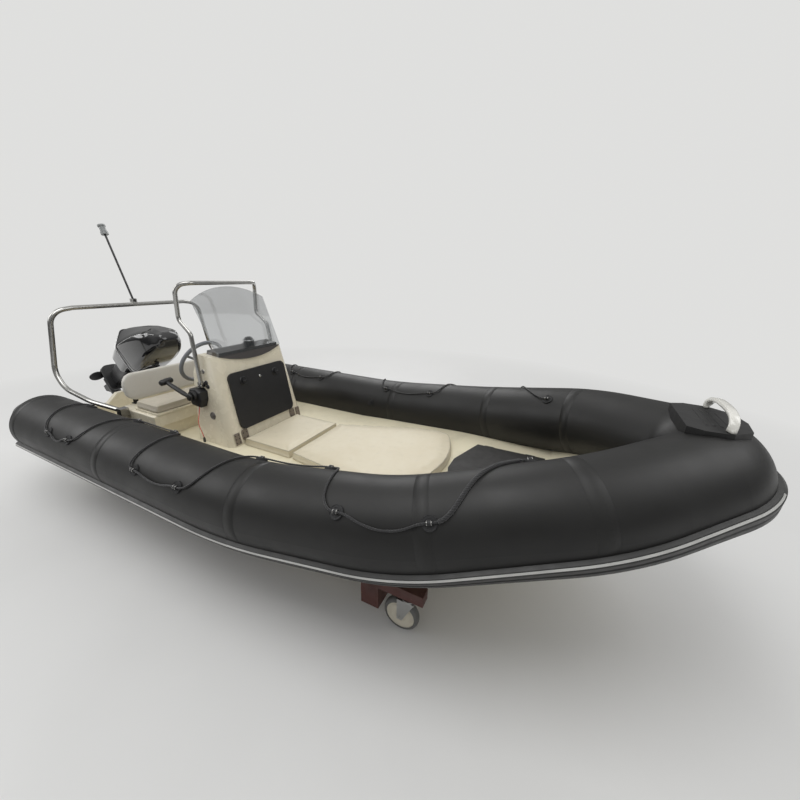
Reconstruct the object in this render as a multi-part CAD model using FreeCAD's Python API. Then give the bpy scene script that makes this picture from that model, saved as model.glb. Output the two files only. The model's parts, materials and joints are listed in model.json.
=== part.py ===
import FreeCAD, Part
import math
import os

# Rigid inflatable boat with a centre console and an outboard, parked on its wheeled dolly.
# The boat is drawn with x forward from the transom's front face, y to port and z up from
# the floor. transom_at then moves every piece so that the whole stands over the origin.

doc = FreeCAD.newDocument("inflatable_boat")
sheet = doc.addObject("Spreadsheet::Sheet", "Sizes")
V = FreeCAD.Vector
UP = V(0, 0, 1)

# Driving dimensions in millimetres and degrees: alias, value, what it is
SIZES = (
    ("transom_at", -1649.2, "x of the transom's front face from the whole's middle"),
    ("collar_radius", 206, "radius of the inflated collar"),
    ("collar_half_beam", 800, "centreline to the middle of a side tube"),
    ("collar_height", 562, "floor to the middle of a side tube at the stern"),
    ("collar_straight", 2120, "straight part of a side tube"),
    ("bow_height", 900, "floor to the middle of the tube at the bow"),
    ("bow_turn_radius", 236, "bend of the tube's middle round the nose"),
    ("cone_length", 345, "tapered tube end behind the transom"),
    ("cone_tip_radius", 112, "radius where the taper ends in its dome"),
    ("fit_gap", 0.3, "gap between the collar and what is bonded to it"),
    ("strake_angle", -36, "rubbing strake below the tube's outer side at the stern"),
    ("strake_height", 92, "height of the rubbing strake"),
    ("strake_depth", 24, "how far the strake stands out"),
    ("strake_groove", 6, "depth of the grooves along the strake"),
    ("keel_height", 170, "floor to the keel at the stern"),
    ("deck_height", 485, "floor to the cockpit sole"),
    ("foredeck_start", 1900, "where the foredeck starts to rise"),
    ("foredeck_slope", 4.2, "rise of the foredeck"),
    ("bow_ramp_start", 3450, "where the deck turns up to the bow tube"),
    ("bow_ramp_slope", 24, "rise of the deck ahead of the hatch"),
    ("deck_thickness", 22, "thickness of the deck moulding"),
    ("transom_thickness", 45, "thickness of the transom"),
    ("transom_height", 650, "floor to the transom's top where the outboard sits"),
    ("pad_thickness", 55, "thickness of the deck pads"),
    ("pad_half_width", 274, "half width of the pad beside the console"),
    ("pad_nose", 2885, "front of the bow pad"),
    ("console_front", 1450, "console's front face at the deck"),
    ("console_back", 1060, "console's rear face at the deck"),
    ("console_half_width", 360, "console's half width at the deck"),
    ("console_top_half_width", 305, "console's half width at its top"),
    ("console_top", 1105, "floor to the top of the console"),
    ("console_lean", 112, "how far the console's front leans back at its top"),
    ("console_wall", 9, "wall of the console moulding"),
    ("door_width", 520, "width of the console's front door"),
    ("door_height", 405, "height of the console's front door"),
    ("door_thickness", 18, "thickness of the front door"),
    ("door_up", 108, "deck to the front door's lower edge, up the console's front"),
    ("door_stand", 0.3, "gap between the front door and the console"),
    ("door_pin_drop", 6, "front door's lower edge to its hinge pins"),
    ("rail_radius", 14, "radius of the console rail's tube"),
    ("rail_top", 1580, "floor to the middle of the console rail's top"),
    ("screen_half_width", 300, "half width of the windscreen"),
    ("screen_lean", 23, "how far the windscreen leans aft"),
    ("helm_x", 975, "steering wheel's middle from the transom"),
    ("helm_side", 150, "steering wheel's middle to starboard of the centreline"),
    ("helm_drop", 90, "console's top down to the steering wheel's middle"),
    ("helm_rake", 27, "how far the steering wheel's axis points up"),
    ("helm_radius", 165, "steering wheel's rim from its middle"),
    ("helm_rim", 14, "radius of the steering wheel's rim"),
    ("bench_front", 880, "front of the bench locker"),
    ("bench_back", 450, "rear of the bench locker"),
    ("bench_half_width", 520, "half width of the bench"),
    ("backrest_at", 535, "backrest's front face at its foot"),
    ("backrest_low", 712, "floor to the backrest's lower edge"),
    ("backrest_height", 212, "height of the backrest"),
    ("bench_top", 672, "floor to the top of the bench locker"),
    ("bench_wall", 12, "wall of the bench locker"),
    ("cushion_thickness", 55, "thickness of the seat cushion"),
    ("lid_thickness", 14, "thickness of the seat lid"),
    ("lid_gap", 72, "backrest's front face to the seat lid's hinged edge"),
    ("lid_lift", 0.3, "gap between the seat lid and the locker's rim"),
    ("arch_radius", 17, "radius of the stern arch's tube"),
    ("arch_x", -48, "stern arch's upright part from the transom's front face"),
    ("mast_pin_rise", 34, "mast's pin over the middle of the arch's top bar"),
    ("arch_top", 1370, "floor to the middle of the arch's top bar"),
    ("mast_length", 560, "length of the light mast"),
    ("mast_lean", 20, "how far the mast leans aft"),
    ("tilt_up", 57, "how far the outboard is tilted up"),
    ("tilt_axis_x", -62, "tilt axis behind the transom's front face"),
    ("tilt_axis_z", 690, "floor to the tilt axis"),
    ("steer_axis_x", -118, "steering axis behind the tilt axis, outboard upright"),
    ("leg_drop", 720, "tilt axis down to the propeller shaft, outboard upright"),
    ("propeller_x", -380, "propeller's middle behind the tilt axis, outboard upright"),
    ("propeller_radius", 145, "radius of the propeller"),
    ("castor_radius", 92, "radius of a castor wheel"),
    ("castor_width", 42, "width of a castor wheel"),
    ("castor_height", 215, "floor to the top of a castor's plate"),
    ("castor_trail", 38, "castor wheel's axle behind its swivel"),
    ("castor_side", 650, "centreline to a castor's swivel"),
    ("castor_front", 2950, "front castors from the transom"),
    ("castor_rear", 310, "rear castors from the transom"),
    ("beam_height", 75, "height of the dolly's cross beams"),
    ("beam_width", 100, "width of the dolly's cross beams"),
    ("rail_beam", 60, "height and width of the dolly's side rails"),
    ("grab_line_radius", 5, "radius of the grab line"),
    ("kill_cord_radius", 2.5, "radius of the kill cord"),
    ("hatch_tip", 2915, "middle of the bow hatch's rear edge"),
    ("hatch_aft", 3000, "rear corners of the bow hatch"),
    ("hatch_fore", 3420, "front edge of the bow hatch"),
    ("hatch_half_width", 305, "half width of the bow hatch at its rear corners"),
    ("hatch_fore_half", 250, "half width of the bow hatch at its front edge"),
    ("locker_depth", 120, "depth of the locker under the bow hatch"),
    ("hatch_thickness", 24, "thickness of the bow hatch"),
    ("hinge_out", 13, "bow hatch's port edge to its hinge pins"),
    ("hinge_up", 27, "foredeck to the hatch's hinge pins"),
)
for row, (alias, value, what) in enumerate(SIZES, start=1):
    sheet.set("A%d" % row, what)
    sheet.set("B%d" % row, str(value))
    sheet.setAlias("B%d" % row, alias)
doc.recompute()


def size(name):
    return float(sheet.get(name))


pieces = []


def piece(label, shape):
    """A sub-part whose form no primitive fits, moved to its place under transom_at."""
    feature = doc.addObject("Part::Feature", label)
    feature.Label = label
    feature.Shape = shape
    return keep(feature)


def keep(feature):
    """List a finished sub-part; its place follows the transom."""
    base = feature.Placement.Base
    turn = feature.Placement.Rotation
    feature.Placement = FreeCAD.Placement(V(base.x + size("transom_at"), base.y, base.z), turn)
    pieces.append(feature)
    return feature


def together(shapes):
    """One node made of several solids that need not touch."""
    solids = [solid for shape in shapes for solid in shape.Solids]
    return Part.makeCompound(solids)


def fused(shapes):
    first, rest = shapes[0], list(shapes[1:])
    return first.fuse(rest).removeSplitter() if rest else first


def box(low, high):
    sides = V(*high) - V(*low)
    return Part.makeBox(sides.x, sides.y, sides.z, V(*low))


def rod(start, end, radius):
    start, end = V(*start), V(*end)
    return Part.makeCylinder(radius, (end - start).Length, start, end - start)


def mirrored(shape):
    """The same piece on the port side."""
    return shape.mirror(V(0, 0, 0), V(0, 1, 0))


def outline(points):
    return Part.makePolygon([V(*p) for p in points] + [V(*points[0])])


def slab(points, depth):
    """A flat outline pushed along a vector."""
    return Part.Face(outline(points)).extrude(V(*depth))


def bend_path(points, radii):
    """Straight runs joined by tangent arcs; one radius for each inner point."""
    points = [V(*p) for p in points]
    edges = []
    start = points[0]
    for before, corner, after, radius in zip(points, points[1:], points[2:], radii):
        back = (before - corner).normalize()
        ahead = (after - corner).normalize()
        half_turn = (math.pi - back.getAngle(ahead)) / 2
        reach = radius * math.tan(half_turn)
        enter, leave = corner + back * reach, corner + ahead * reach
        inward = (back + ahead).normalize()
        middle = corner + inward * (radius / math.cos(half_turn) - radius)
        edges.append(Part.LineSegment(start, enter).toShape())
        edges.append(Part.Arc(enter, middle, leave).toShape())
        start = leave
    edges.append(Part.LineSegment(start, points[-1]).toShape())
    return Part.Wire(edges)


def limp_radii(points):
    """For each inner point of a cord's route, the largest arc its two runs allow."""
    points = [V(*p) for p in points]
    radii = []
    for before, corner, after in zip(points, points[1:], points[2:]):
        back, ahead = before - corner, after - corner
        half_turn = (math.pi - back.getAngle(ahead)) / 2
        radii.append(0.45 * min(back.Length, ahead.Length) / math.tan(half_turn))
    return radii


def swept_tube(path, radius):
    """A round bar or rope along a path."""
    first = path.OrderedEdges[0]
    at, along = first.valueAt(first.FirstParameter), first.tangentAt(first.FirstParameter)
    section = Part.Wire([Part.makeCircle(radius, at, along)])
    return path.makePipeShell([section], True, False)


# The collar's middle line

# x, half breadth, height and bend radius at each corner, from the stern to the nose
COLLAR_CORNERS = (
    (0, size("collar_half_beam"), size("collar_height"), 0),
    (size("collar_straight"), size("collar_half_beam"), size("collar_height"), 3200),
    (2929, 722, 663, 1500),
    (3640, 470, 835, 900),
    (4048, 116, size("bow_height"), size("bow_turn_radius")),
)


def collar_points(side):
    return [(x, side * y, z) for x, y, z, radius in COLLAR_CORNERS]


def collar_path():
    corner_radii = [radius for x, y, z, radius in COLLAR_CORNERS[1:]]
    points = collar_points(1) + collar_points(-1)[::-1]
    return bend_path(points, corner_radii + corner_radii[::-1])


def collar_at(distance):
    """Middle of the starboard tube at a distance from its stern end, with its directions."""
    corner_radii = [radius for x, y, z, radius in COLLAR_CORNERS[1:]]
    points = collar_points(-1) + collar_points(1)[::-1]
    path = bend_path(points, corner_radii + corner_radii[::-1])
    for edge in path.OrderedEdges:
        if distance <= edge.Length:
            break
        distance -= edge.Length
    at = edge.getParameterByLength(distance)
    along = edge.tangentAt(at)
    if along.x < 0 and edge.valueAt(at).x < 4000:
        along = along * -1
    out = along.cross(UP).normalize()
    return edge.valueAt(at), along, out, out.cross(along)


def on_collar(distance, angle, lift=0.0):
    """A point over the starboard tube's skin: angle up from its outer side, lift above it."""
    middle, along, out, over = collar_at(distance)
    reach = size("collar_radius") + lift
    turn = math.radians(angle)
    return middle + out * (reach * math.cos(turn)) + over * (reach * math.sin(turn))


def make_collar(extra=0.0):
    """The inflated tube right round the boat, with its two tapered ends."""
    radius = size("collar_radius") + extra
    tube = swept_tube(collar_path(), radius)
    length, tip = size("cone_length") + extra, size("cone_tip_radius") + extra
    taper = length * 0.78
    bulge = length - taper
    dome = (bulge ** 2 + tip ** 2) / (2 * bulge)
    half_dome = math.asin(tip / dome) / 2
    halfway = V(dome - length - dome * math.cos(half_dome), 0, dome * math.sin(half_dome))
    profile = [
        Part.LineSegment(V(0, 0, 0), V(0, 0, radius)).toShape(),
        Part.LineSegment(V(0, 0, radius), V(-taper, 0, tip)).toShape(),
        Part.Arc(V(-taper, 0, tip), halfway, V(-length, 0, 0)).toShape(),
        Part.LineSegment(V(-length, 0, 0), V(0, 0, 0)).toShape(),
    ]
    cone = Part.Face(Part.Wire(profile)).revolve(V(0, 0, 0), V(1, 0, 0), 360)
    cones = []
    for side in (1, -1):
        end = cone.copy()
        end.translate(V(0, side * size("collar_half_beam"), size("collar_height")))
        cones.append(end)
    return fused([tube] + cones)


collar = make_collar()
piece("collar", collar)
collar_seat = make_collar(size("fit_gap"))


# Rubbing strake: a grooved rubber moulding bonded round the outside of the collar

# angle up from the tube's outer side, and the guide's bend radius, at each collar corner
STRAKE_TURN = ((size("strake_angle"), 0), (size("strake_angle"), 3600), (-34, 1900),
               (-16, 1300), (0, 500))


def strake_guide():
    """A line outside the collar that turns the strake up the tube towards the nose."""
    corners = [V(*corner) for corner in collar_points(1)]
    ends = [corners[0] * 2 - corners[1]] + corners + [V(corners[-1].x, -corners[-1].y, corners[-1].z)]
    guide = []
    for before, corner, after, (angle, radius) in zip(ends, corners, ends[2:], STRAKE_TURN):
        along = ((after - corner).normalize() + (corner - before).normalize()).normalize()
        out = UP.cross(along).normalize()
        turn = math.radians(angle)
        guide.append(corner + out * (400 * math.cos(turn)) + along.cross(out) * (400 * math.sin(turn)))
    radii = [radius for angle, radius in STRAKE_TURN[1:]]
    points = [tuple(p) for p in guide] + [(p.x, -p.y, p.z) for p in reversed(guide)]
    return bend_path(points, radii + radii[::-1])


def make_strake():
    radius = size("collar_radius") + size("fit_gap")
    half, depth, groove = size("strake_height") / 2, size("strake_depth"), size("strake_groove")
    edge_in = radius * (1 - math.cos(math.asin(half / radius)))
    # depth outwards and height across the section, from its upper bonded edge downwards
    section = (
        (-edge_in, half), (depth * 0.45, half), (depth, half * 0.74), (depth, half * 0.30),
        (depth - groove, half * 0.24), (depth - groove, half * 0.06), (depth, 0),
        (depth, -half * 0.40), (depth - groove, -half * 0.46), (depth - groove, -half * 0.60),
        (depth * 0.8, -half * 0.66), (depth * 0.5, -half), (-edge_in, -half),
    )
    turn = math.radians(size("strake_angle"))
    out, over = V(0, math.cos(turn), math.sin(turn)), V(0, -math.sin(turn), math.cos(turn))
    middle = V(0, size("collar_half_beam"), size("collar_height"))
    corners = [middle + out * (radius + d) + over * h for d, h in section]
    rim = [Part.LineSegment(a, b).toShape() for a, b in zip(corners, corners[1:])]
    rim.append(Part.Arc(corners[-1], middle + out * radius, corners[0]).toShape())
    shell = Part.BRepOffsetAPI.MakePipeShell(collar_path())
    shell.setAuxiliarySpine(strake_guide(), False, 0)
    shell.add(Part.Wire(rim))
    shell.build()
    shell.makeSolid()
    return shell.shape()


piece("rubbing_strake", make_strake())


# Hull and deck: x, rise of the keel, chine half breadth and height at each station
# from the transom to the stem
STATIONS = (
    (0, 0, 640, 388),
    (size("foredeck_start"), 0, 640, 392),
    (2350, 8, 618, 415),
    (2929, 45, 540, 470),
    (3350, 128, 420, 535),
    (size("bow_ramp_start"), 163, 378, 553),
    (3640, 230, 297, 596),
    (3900, 370, 150, 655),
    (4010, 470, 60, 690),
)


def hull_stations():
    """The stations, each with the collar's half breadth and height over it."""
    rows = []
    for x, rise, chine_y, chine_z in STATIONS:
        for (x0, y0, z0, r0), (x1, y1, z1, r1) in zip(COLLAR_CORNERS, COLLAR_CORNERS[1:]):
            if x <= x1:
                break
        share = (x - x0) / (x1 - x0)
        chine_z = min(chine_z, deck_level(x) - size("deck_thickness") - 12)
        rows.append((x, size("keel_height") + rise, chine_y, chine_z,
                     y0 + (y1 - y0) * share, z0 + (z1 - z0) * share))
    return rows


def deck_level(x):
    """Cockpit sole, then the foredeck's straight rise, then the ramp up to the bow tube."""
    foredeck = max(0.0, min(x, size("bow_ramp_start")) - size("foredeck_start"))
    ramp = max(0.0, x - size("bow_ramp_start"))
    return (size("deck_height") + foredeck * math.tan(math.radians(size("foredeck_slope")))
            + ramp * math.tan(math.radians(size("bow_ramp_slope"))))


def on_foredeck(points, low, high):
    """A flat form pushed up from the foredeck's slope, between two heights over it."""
    return slab([(x, y, deck_level(x) + low) for x, y in points], (0, 0, high - low))


def hatch_outline(inset):
    """The bow hatch's six corners, moved in from its edge all round."""
    aft, fore = size("hatch_aft") + inset, size("hatch_fore") - inset
    half, fore_half = size("hatch_half_width") - inset, size("hatch_fore_half") - inset
    tip, tip_half = size("hatch_tip") + inset, 60
    return [(aft, half), (fore, fore_half), (fore, -fore_half), (aft, -half),
            (tip, -tip_half), (tip, tip_half)]


locker_well = on_foredeck(hatch_outline(50), -size("locker_depth"), 20)


def make_hull():
    sections = []
    for x, keel, chine_y, chine_z, tube_y, tube_z in hull_stations():
        side = tube_y - 70
        top = deck_level(x) - size("deck_thickness")
        sections.append(outline((
            (x, 0, keel), (x, chine_y, chine_z), (x, side, min(tube_z - 60, top - 10)),
            (x, side, top), (x, -side, top), (x, -side, min(tube_z - 60, top - 10)),
            (x, -chine_y, chine_z))))
    return Part.makeLoft(sections, True, True).cut(collar_seat).cut(locker_well)


def make_deck():
    sections = []
    for x, keel, chine_y, chine_z, tube_y, tube_z in hull_stations():
        side, top = tube_y - 70, deck_level(x)
        under = top - size("deck_thickness")
        sections.append(outline((
            (x, side, under), (x, side, top), (x, -side, top), (x, -side, under))))
    return Part.makeLoft(sections, True, True).cut(collar_seat).cut(locker_well)


hull = make_hull()
piece("hull", hull)
piece("deck", make_deck())


# Transom: the panel that carries the outboard
def make_transom():
    top, keel = size("transom_height"), size("keel_height")
    shoulder = size("deck_height") + 95
    panel = slab(((0, 0, keel + 4), (0, 636, 388), (0, 730, 420), (0, 730, shoulder),
                  (0, 400, shoulder), (0, 320, top), (0, -320, top), (0, -400, shoulder),
                  (0, -730, shoulder), (0, -730, 420), (0, -636, 388)),
                 (-size("transom_thickness"), 0, 0))
    return panel.cut(collar_seat)


piece("transom", make_transom())


# Bow fittings: step pad, hoop handle, towing eye
nose_top = size("bow_height") + size("collar_radius")


def make_bow_step():
    """Moulded pad bonded over the nose, its flat top just over the tube."""
    plan = ((3905, -150), (3905, 150), (3960, 178), (4050, 172), (4122, 110), (4140, 0),
            (4122, -110), (4050, -172), (3960, -178))
    pad = slab([(x, y, nose_top - 45) for x, y in plan], (0, 0, 53))
    return pad.cut(collar_seat)


bow_step = make_bow_step()
piece("bow_step", bow_step)
HANDLE = ((4030, -150, nose_top), (4032, -146, nose_top + 46), (4062, -80, nose_top + 66),
          (4062, 80, nose_top + 66), (4032, 146, nose_top + 46), (4030, 150, nose_top))
handle_tube = swept_tube(bend_path(HANDLE, (30, 55, 55, 30)), 11)
piece("bow_handle", handle_tube.cut(bow_step))


def make_bow_eye():
    """Steel plate through the stem with a towing hole."""
    x, z = 3962, size("keel_height") + 400
    plate = slab(((x - 60, -5, z + 60), (x + 10, -5, z + 40), (x + 62, -5, z + 10), (x + 62, -5, z - 26),
                  (x + 20, -5, z - 44), (x - 60, -5, z - 60)), (0, 10, 0))
    hole = rod((x + 38, -20, z - 6), (x + 38, 20, z - 6), 9)
    return plate.cut(hole).cut(hull)


piece("bow_eye", make_bow_eye())


# Deck pads and the bow hatch, laid on the rising foredeck
def make_pad_aft():
    half = size("pad_half_width")
    back, front = size("console_front") + 12, size("foredeck_start") - 15
    return box((back, -half, size("deck_height") + size("fit_gap")),
               (front, half, size("deck_height") + size("pad_thickness")))


def make_pad_bow():
    """Widens from the seam, then closes in a broad round nose."""
    def over(x, y):
        return V(x, y, deck_level(x) + size("fit_gap"))
    seam, half = size("foredeck_start"), size("pad_half_width")
    side, shoulder, cheek, nose = (2500, 412), (2680, 418), (2815, 310), (size("pad_nose"), 0)
    round_in = (2765, 383)
    edges = []
    for flip in (1, -1):
        run = [over(x, flip * y) for x, y in ((seam, half), side, shoulder, round_in, cheek)]
        edges.append(Part.LineSegment(run[0], run[1]).toShape())
        edges.append(Part.LineSegment(run[1], run[2]).toShape())
        edges.append(Part.Arc(run[2], run[3], run[4]).toShape())
    edges.append(Part.Arc(over(*cheek), over(*nose), over(cheek[0], -cheek[1])).toShape())
    edges.append(Part.LineSegment(over(seam, half), over(seam, -half)).toShape())
    rim = Part.Wire(Part.__sortEdges__(edges))
    return Part.Face(rim).extrude(V(0, 0, size("pad_thickness") - size("fit_gap")))


piece("deck_pad_aft", make_pad_aft())
piece("deck_pad_bow", make_pad_bow())

hatch_low = 14


def make_hatch_coaming():
    """Low frame under the lid's edge, round the locker's mouth."""
    ring = on_foredeck(hatch_outline(24), 0, hatch_low - 1)
    return ring.cut(on_foredeck(hatch_outline(50), -2, hatch_low + 1))


piece("bow_hatch", on_foredeck(hatch_outline(0), hatch_low, hatch_low + size("hatch_thickness")))
piece("hatch_coaming", make_hatch_coaming())

# The lid turns on its port edge, which closes in towards the bow
hinge_out, hinge_up, hinge_half = size("hinge_out"), size("hinge_up"), 28
edge_in = math.atan2(size("hatch_half_width") - size("hatch_fore_half"),
                     size("hatch_fore") - size("hatch_aft"))


def beside_hatch(ahead, out):
    """A point ahead of the rear port corner along the lid's edge, and out from it."""
    return (size("hatch_aft") + ahead * math.cos(edge_in) + out * math.sin(edge_in),
            size("hatch_half_width") - ahead * math.sin(edge_in) + out * math.cos(edge_in))


hinges = []
for ahead in (75, 335):
    def patch(inner, outer, low, high):
        corners = ((ahead - hinge_half, inner), (ahead + hinge_half, inner),
                   (ahead + hinge_half, outer), (ahead - hinge_half, outer))
        return on_foredeck([beside_hatch(*corner) for corner in corners], low, high)
    ends = []
    for way in (-1, 1):
        x, y = beside_hatch(ahead + way * hinge_half, hinge_out)
        ends.append((x, y, deck_level(x) + hinge_up))
    leaf = patch(hinge_out - 4, hinge_out + 34, 0, 6)
    web = patch(hinge_out - 4, hinge_out + 4, 3, hinge_up)
    hinges.append(leaf.fuse(web).fuse(rod(*ends, 7)))
piece("hatch_hinges", together(hinges))


# Console: a tapered moulding, hollow and open below, with its front door

def console_form(inset=0.0, low=0.0):
    """Side profile pushed across, narrowed towards its top by a second profile."""
    floor, top = size("deck_height") - low, size("console_top")
    front, back = size("console_front") - inset, size("console_back") + inset
    lean = size("console_lean")
    profile = slab(((back, -500, floor), (front, -500, floor), (front - lean, -500, top - inset),
                    (front - lean - 170 + inset, -500, top + 14 - inset),
                    (back, -500, top - 205)), (0, 1000, 0))
    half, top_half = size("console_half_width") - inset, size("console_top_half_width") - inset
    taper = slab(((0, half, floor), (0, top_half, top + 40), (0, -top_half, top + 40),
                  (0, -half, floor)), (3000, 0, 0))
    body = profile.common(taper)
    upright = [edge for edge in body.Edges
               if abs(edge.tangentAt(edge.FirstParameter).z) > 0.85 and edge.Length > 300]
    return body.makeFillet(58 - inset, upright)


front_lean = math.atan2(size("console_lean"), size("console_top") - size("deck_height"))
door_turn = FreeCAD.Rotation(V(0, 1, 0), -math.degrees(front_lean))


def on_console_front(shape, up, out):
    """Move a form drawn at the origin onto the front face: its height up it, its stand-off."""
    foot = V(size("console_front"), 0, size("deck_height"))
    along = V(-math.sin(front_lean), 0, math.cos(front_lean))
    normal = V(math.cos(front_lean), 0, math.sin(front_lean))
    placed = shape.copy()
    seat = FreeCAD.Placement(foot + along * up + normal * out, door_turn)
    placed.Placement = seat.multiply(shape.Placement)
    return placed


def rounded_plate(width, height, thickness, radius):
    """A plate standing on the origin, facing forward, with rounded corners."""
    plate = box((0, -width / 2, 0), (thickness, width / 2, height))
    corners = [edge for edge in plate.Edges if abs(edge.tangentAt(edge.FirstParameter).x) > 0.9]
    return plate.makeFillet(radius, corners)


door_up, door_stand = size("door_up"), size("door_stand")
doorway = rounded_plate(size("door_width") - 70, size("door_height") - 70, 120, 40)
console = console_form().cut(console_form(size("console_wall"), 30))
console = console.cut(on_console_front(doorway, door_up + 35, -60))

helm_at = V(size("helm_x"), -size("helm_side"), size("console_top") - size("helm_drop"))
helm_out = V(-math.cos(math.radians(size("helm_rake"))), 0, math.sin(math.radians(size("helm_rake"))))
helm_bore = rod(tuple(helm_at - helm_out * 80), tuple(helm_at - helm_out * 200), 14.4)
piece("console", console.cut(helm_bore))
piece("console_door", on_console_front(
    rounded_plate(size("door_width"), size("door_height"), size("door_thickness"), 42),
    door_up, door_stand))
latches = []
for y in (-150, 150):
    knob = rod((0, y, 0), (9, y, 0), 22).fuse(rod((9, y, 0), (18, y, 0), 14))
    latches.append(on_console_front(knob, door_up + size("door_height") - 70,
                                    door_stand + size("door_thickness")))
piece("door_latches", together(latches))
feet = []
pin_up, pin_out = door_up - size("door_pin_drop"), door_stand + size("door_thickness") / 2
for y in (-1, 1):
    plate = rounded_plate(52, 78, 7, 20).fuse(rod((pin_out, -20, 74), (pin_out, 20, 74), 4))
    plate = plate.fuse(box((0, -20, 66), (pin_out, 20, 74)))
    plate.translate(V(0, y * (size("door_width") / 2 - 20), 0))
    feet.append(on_console_front(plate, pin_up - 74, 0))
piece("door_hinges", together(feet))


# Dash, compass, windscreen and the hoop rail round it
dash_x, top_z = size("console_front") - size("console_lean"), size("console_top")
dash_form = slab(((dash_x - 12, -262, top_z - 30), (dash_x - 18, -262, top_z + 26),
                  (dash_x - 128, -262, top_z + 40), (dash_x - 160, -262, top_z - 30)), (0, 524, 0))
dash = dash_form.cut(console_form())
piece("dash", dash)
compass_at = V(dash_x - 72, 45, top_z + 20)
compass = fused([Part.makeCylinder(39, 42, compass_at),
                 Part.makeCone(36, 30, 16, compass_at + V(0, 0, 42)),
                 Part.makeCone(30, 14, 12, compass_at + V(0, 0, 58))])
piece("compass", compass.cut(dash_form))

rail_half = 325
rail_foot = (1205, rail_half + 20, 925)
RAIL_SIDE = (rail_foot, (1168, rail_half + 4, 1262), (1062, rail_half, 1345),
             (1084, rail_half, size("rail_top") - 12), (1140, rail_half - 70, size("rail_top")))
rail_points = [(x, -y, z) for x, y, z in RAIL_SIDE] + list(reversed(RAIL_SIDE))
rail = swept_tube(bend_path(rail_points, (60, 50, 70, 60, 60, 70, 50, 60)), size("rail_radius"))
pads = []
for side in (-1, 1):
    inner, outer = sorted((side * (rail_half - 20), side * (rail_half + 32)))
    pads.append(box((rail_foot[0] - 20, inner, rail_foot[2] - 22),
                    (rail_foot[0] + 20, outer, rail_foot[2] + 12)))
piece("console_rail", fused([rail] + pads).cut(console_form(-size("fit_gap"))))


def make_windscreen():
    """Tinted sheet inside the rail, its foot a shallow arc over the console's front edge."""
    foot, low = size("console_top") + 8, size("console_top") - 42
    corner, peak = size("rail_top") - 108, size("rail_top") - 26
    half = size("screen_half_width")
    across_lean = 1 / math.cos(math.radians(size("screen_lean")))

    def at(y, z):
        return V(0, y, size("console_top") + (z - size("console_top")) * across_lean)
    rim = Part.Wire([
        Part.Arc(at(-half + 20, foot), at(0, low), at(half - 20, foot)).toShape(),
        Part.LineSegment(at(half - 20, foot), at(half, corner)).toShape(),
        Part.Arc(at(half, corner), at(0, peak), at(-half, corner)).toShape(),
        Part.LineSegment(at(-half, corner), at(-half + 20, foot)).toShape()])
    sheet_form = Part.Face(rim).extrude(V(5, 0, 0))
    sheet_form.Placement = FreeCAD.Placement(
        V(dash_x - 1, 0, 0), FreeCAD.Rotation(V(0, 1, 0), -size("screen_lean")),
        V(0, 0, size("console_top")))
    return sheet_form.cut(console_form(-size("fit_gap"))).cut(dash_form)


piece("windscreen", make_windscreen())


# Steering wheel, raked with the dash, on its short shaft
helm_turn = FreeCAD.Rotation(V(0, 0, 1), helm_out)
rim_round = []
for step in range(10):
    turn = math.radians(36 * step)
    rim_round.append((size("helm_radius") + size("helm_rim") * math.cos(turn), 0,
                      size("helm_rim") * math.sin(turn)))
wheel = Part.Face(outline(rim_round)).revolve(V(0, 0, 0), UP, 360)
hub = Part.makeCylinder(42, 34, V(0, 0, -40)).fuse(Part.makeCylinder(14, 92, V(0, 0, -122)))
spokes = []
for angle in (60, 180, 300):
    reach = FreeCAD.Rotation(V(0, 0, 1), angle).multVec(V(size("helm_radius"), 0, 0))
    spokes.append(rod((0, 0, -20), tuple(reach), 9))
helm = fused([wheel, hub] + spokes)
helm.Placement = FreeCAD.Placement(helm_at, helm_turn)
helm_well = rod(tuple(helm_at - helm_out * 90), tuple(helm_at - helm_out * 190), 30)
piece("steering_wheel", helm)
piece("helm_boss", helm_well.cut(helm_bore).cut(console_form()))


# Throttle box on the console's starboard side; its lever stays where it stands
side_lean = math.atan2(size("console_half_width") - size("console_top_half_width"),
                       size("console_top") + 40 - size("deck_height"))
throttle_at = V(1178, -322, 850)
throttle_body = slab(((-48, 0, -80), (38, 0, -88), (62, 0, -30), (56, 0, 24), (10, 0, 48),
                      (-50, 0, 38), (-70, 0, 0)), (0, -68, 0))
throttle_body = throttle_body.makeFillet(12, [
    edge for edge in throttle_body.Edges if edge.BoundBox.YMax < -50])
throttle_body.translate(throttle_at)
throttle_hub = rod((throttle_at.x, throttle_at.y - 56, throttle_at.z - 4),
                   (throttle_at.x, throttle_at.y - 90, throttle_at.z - 4), 36)
piece("throttle_box", throttle_body.fuse(throttle_hub).cut(console_form(-size("fit_gap"))))
lever_root = V(throttle_at.x, throttle_at.y - 96, throttle_at.z - 4)
lever_tip = V(throttle_at.x - 238, throttle_at.y - 102, throttle_at.z + 74)
lever = rod(tuple(lever_root + V(0, 5.7, 0)), tuple(lever_root - V(0, 16, 0)), 24)
lever = lever.fuse(rod(tuple(lever_root - V(0, 6, 0)), tuple(lever_tip), 9))
grip = rod(tuple(lever_tip + V(0, 48, 6)), tuple(lever_tip + V(0, -42, -4)), 17)
piece("throttle_lever", fused([lever, grip]))


# Bench: hollow locker, hinged seat, backrest board on its brackets
bench_top, bench_half = size("bench_top"), size("bench_half_width")
lid_back = size("backrest_at") + size("lid_gap")
ledge = 26


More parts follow.
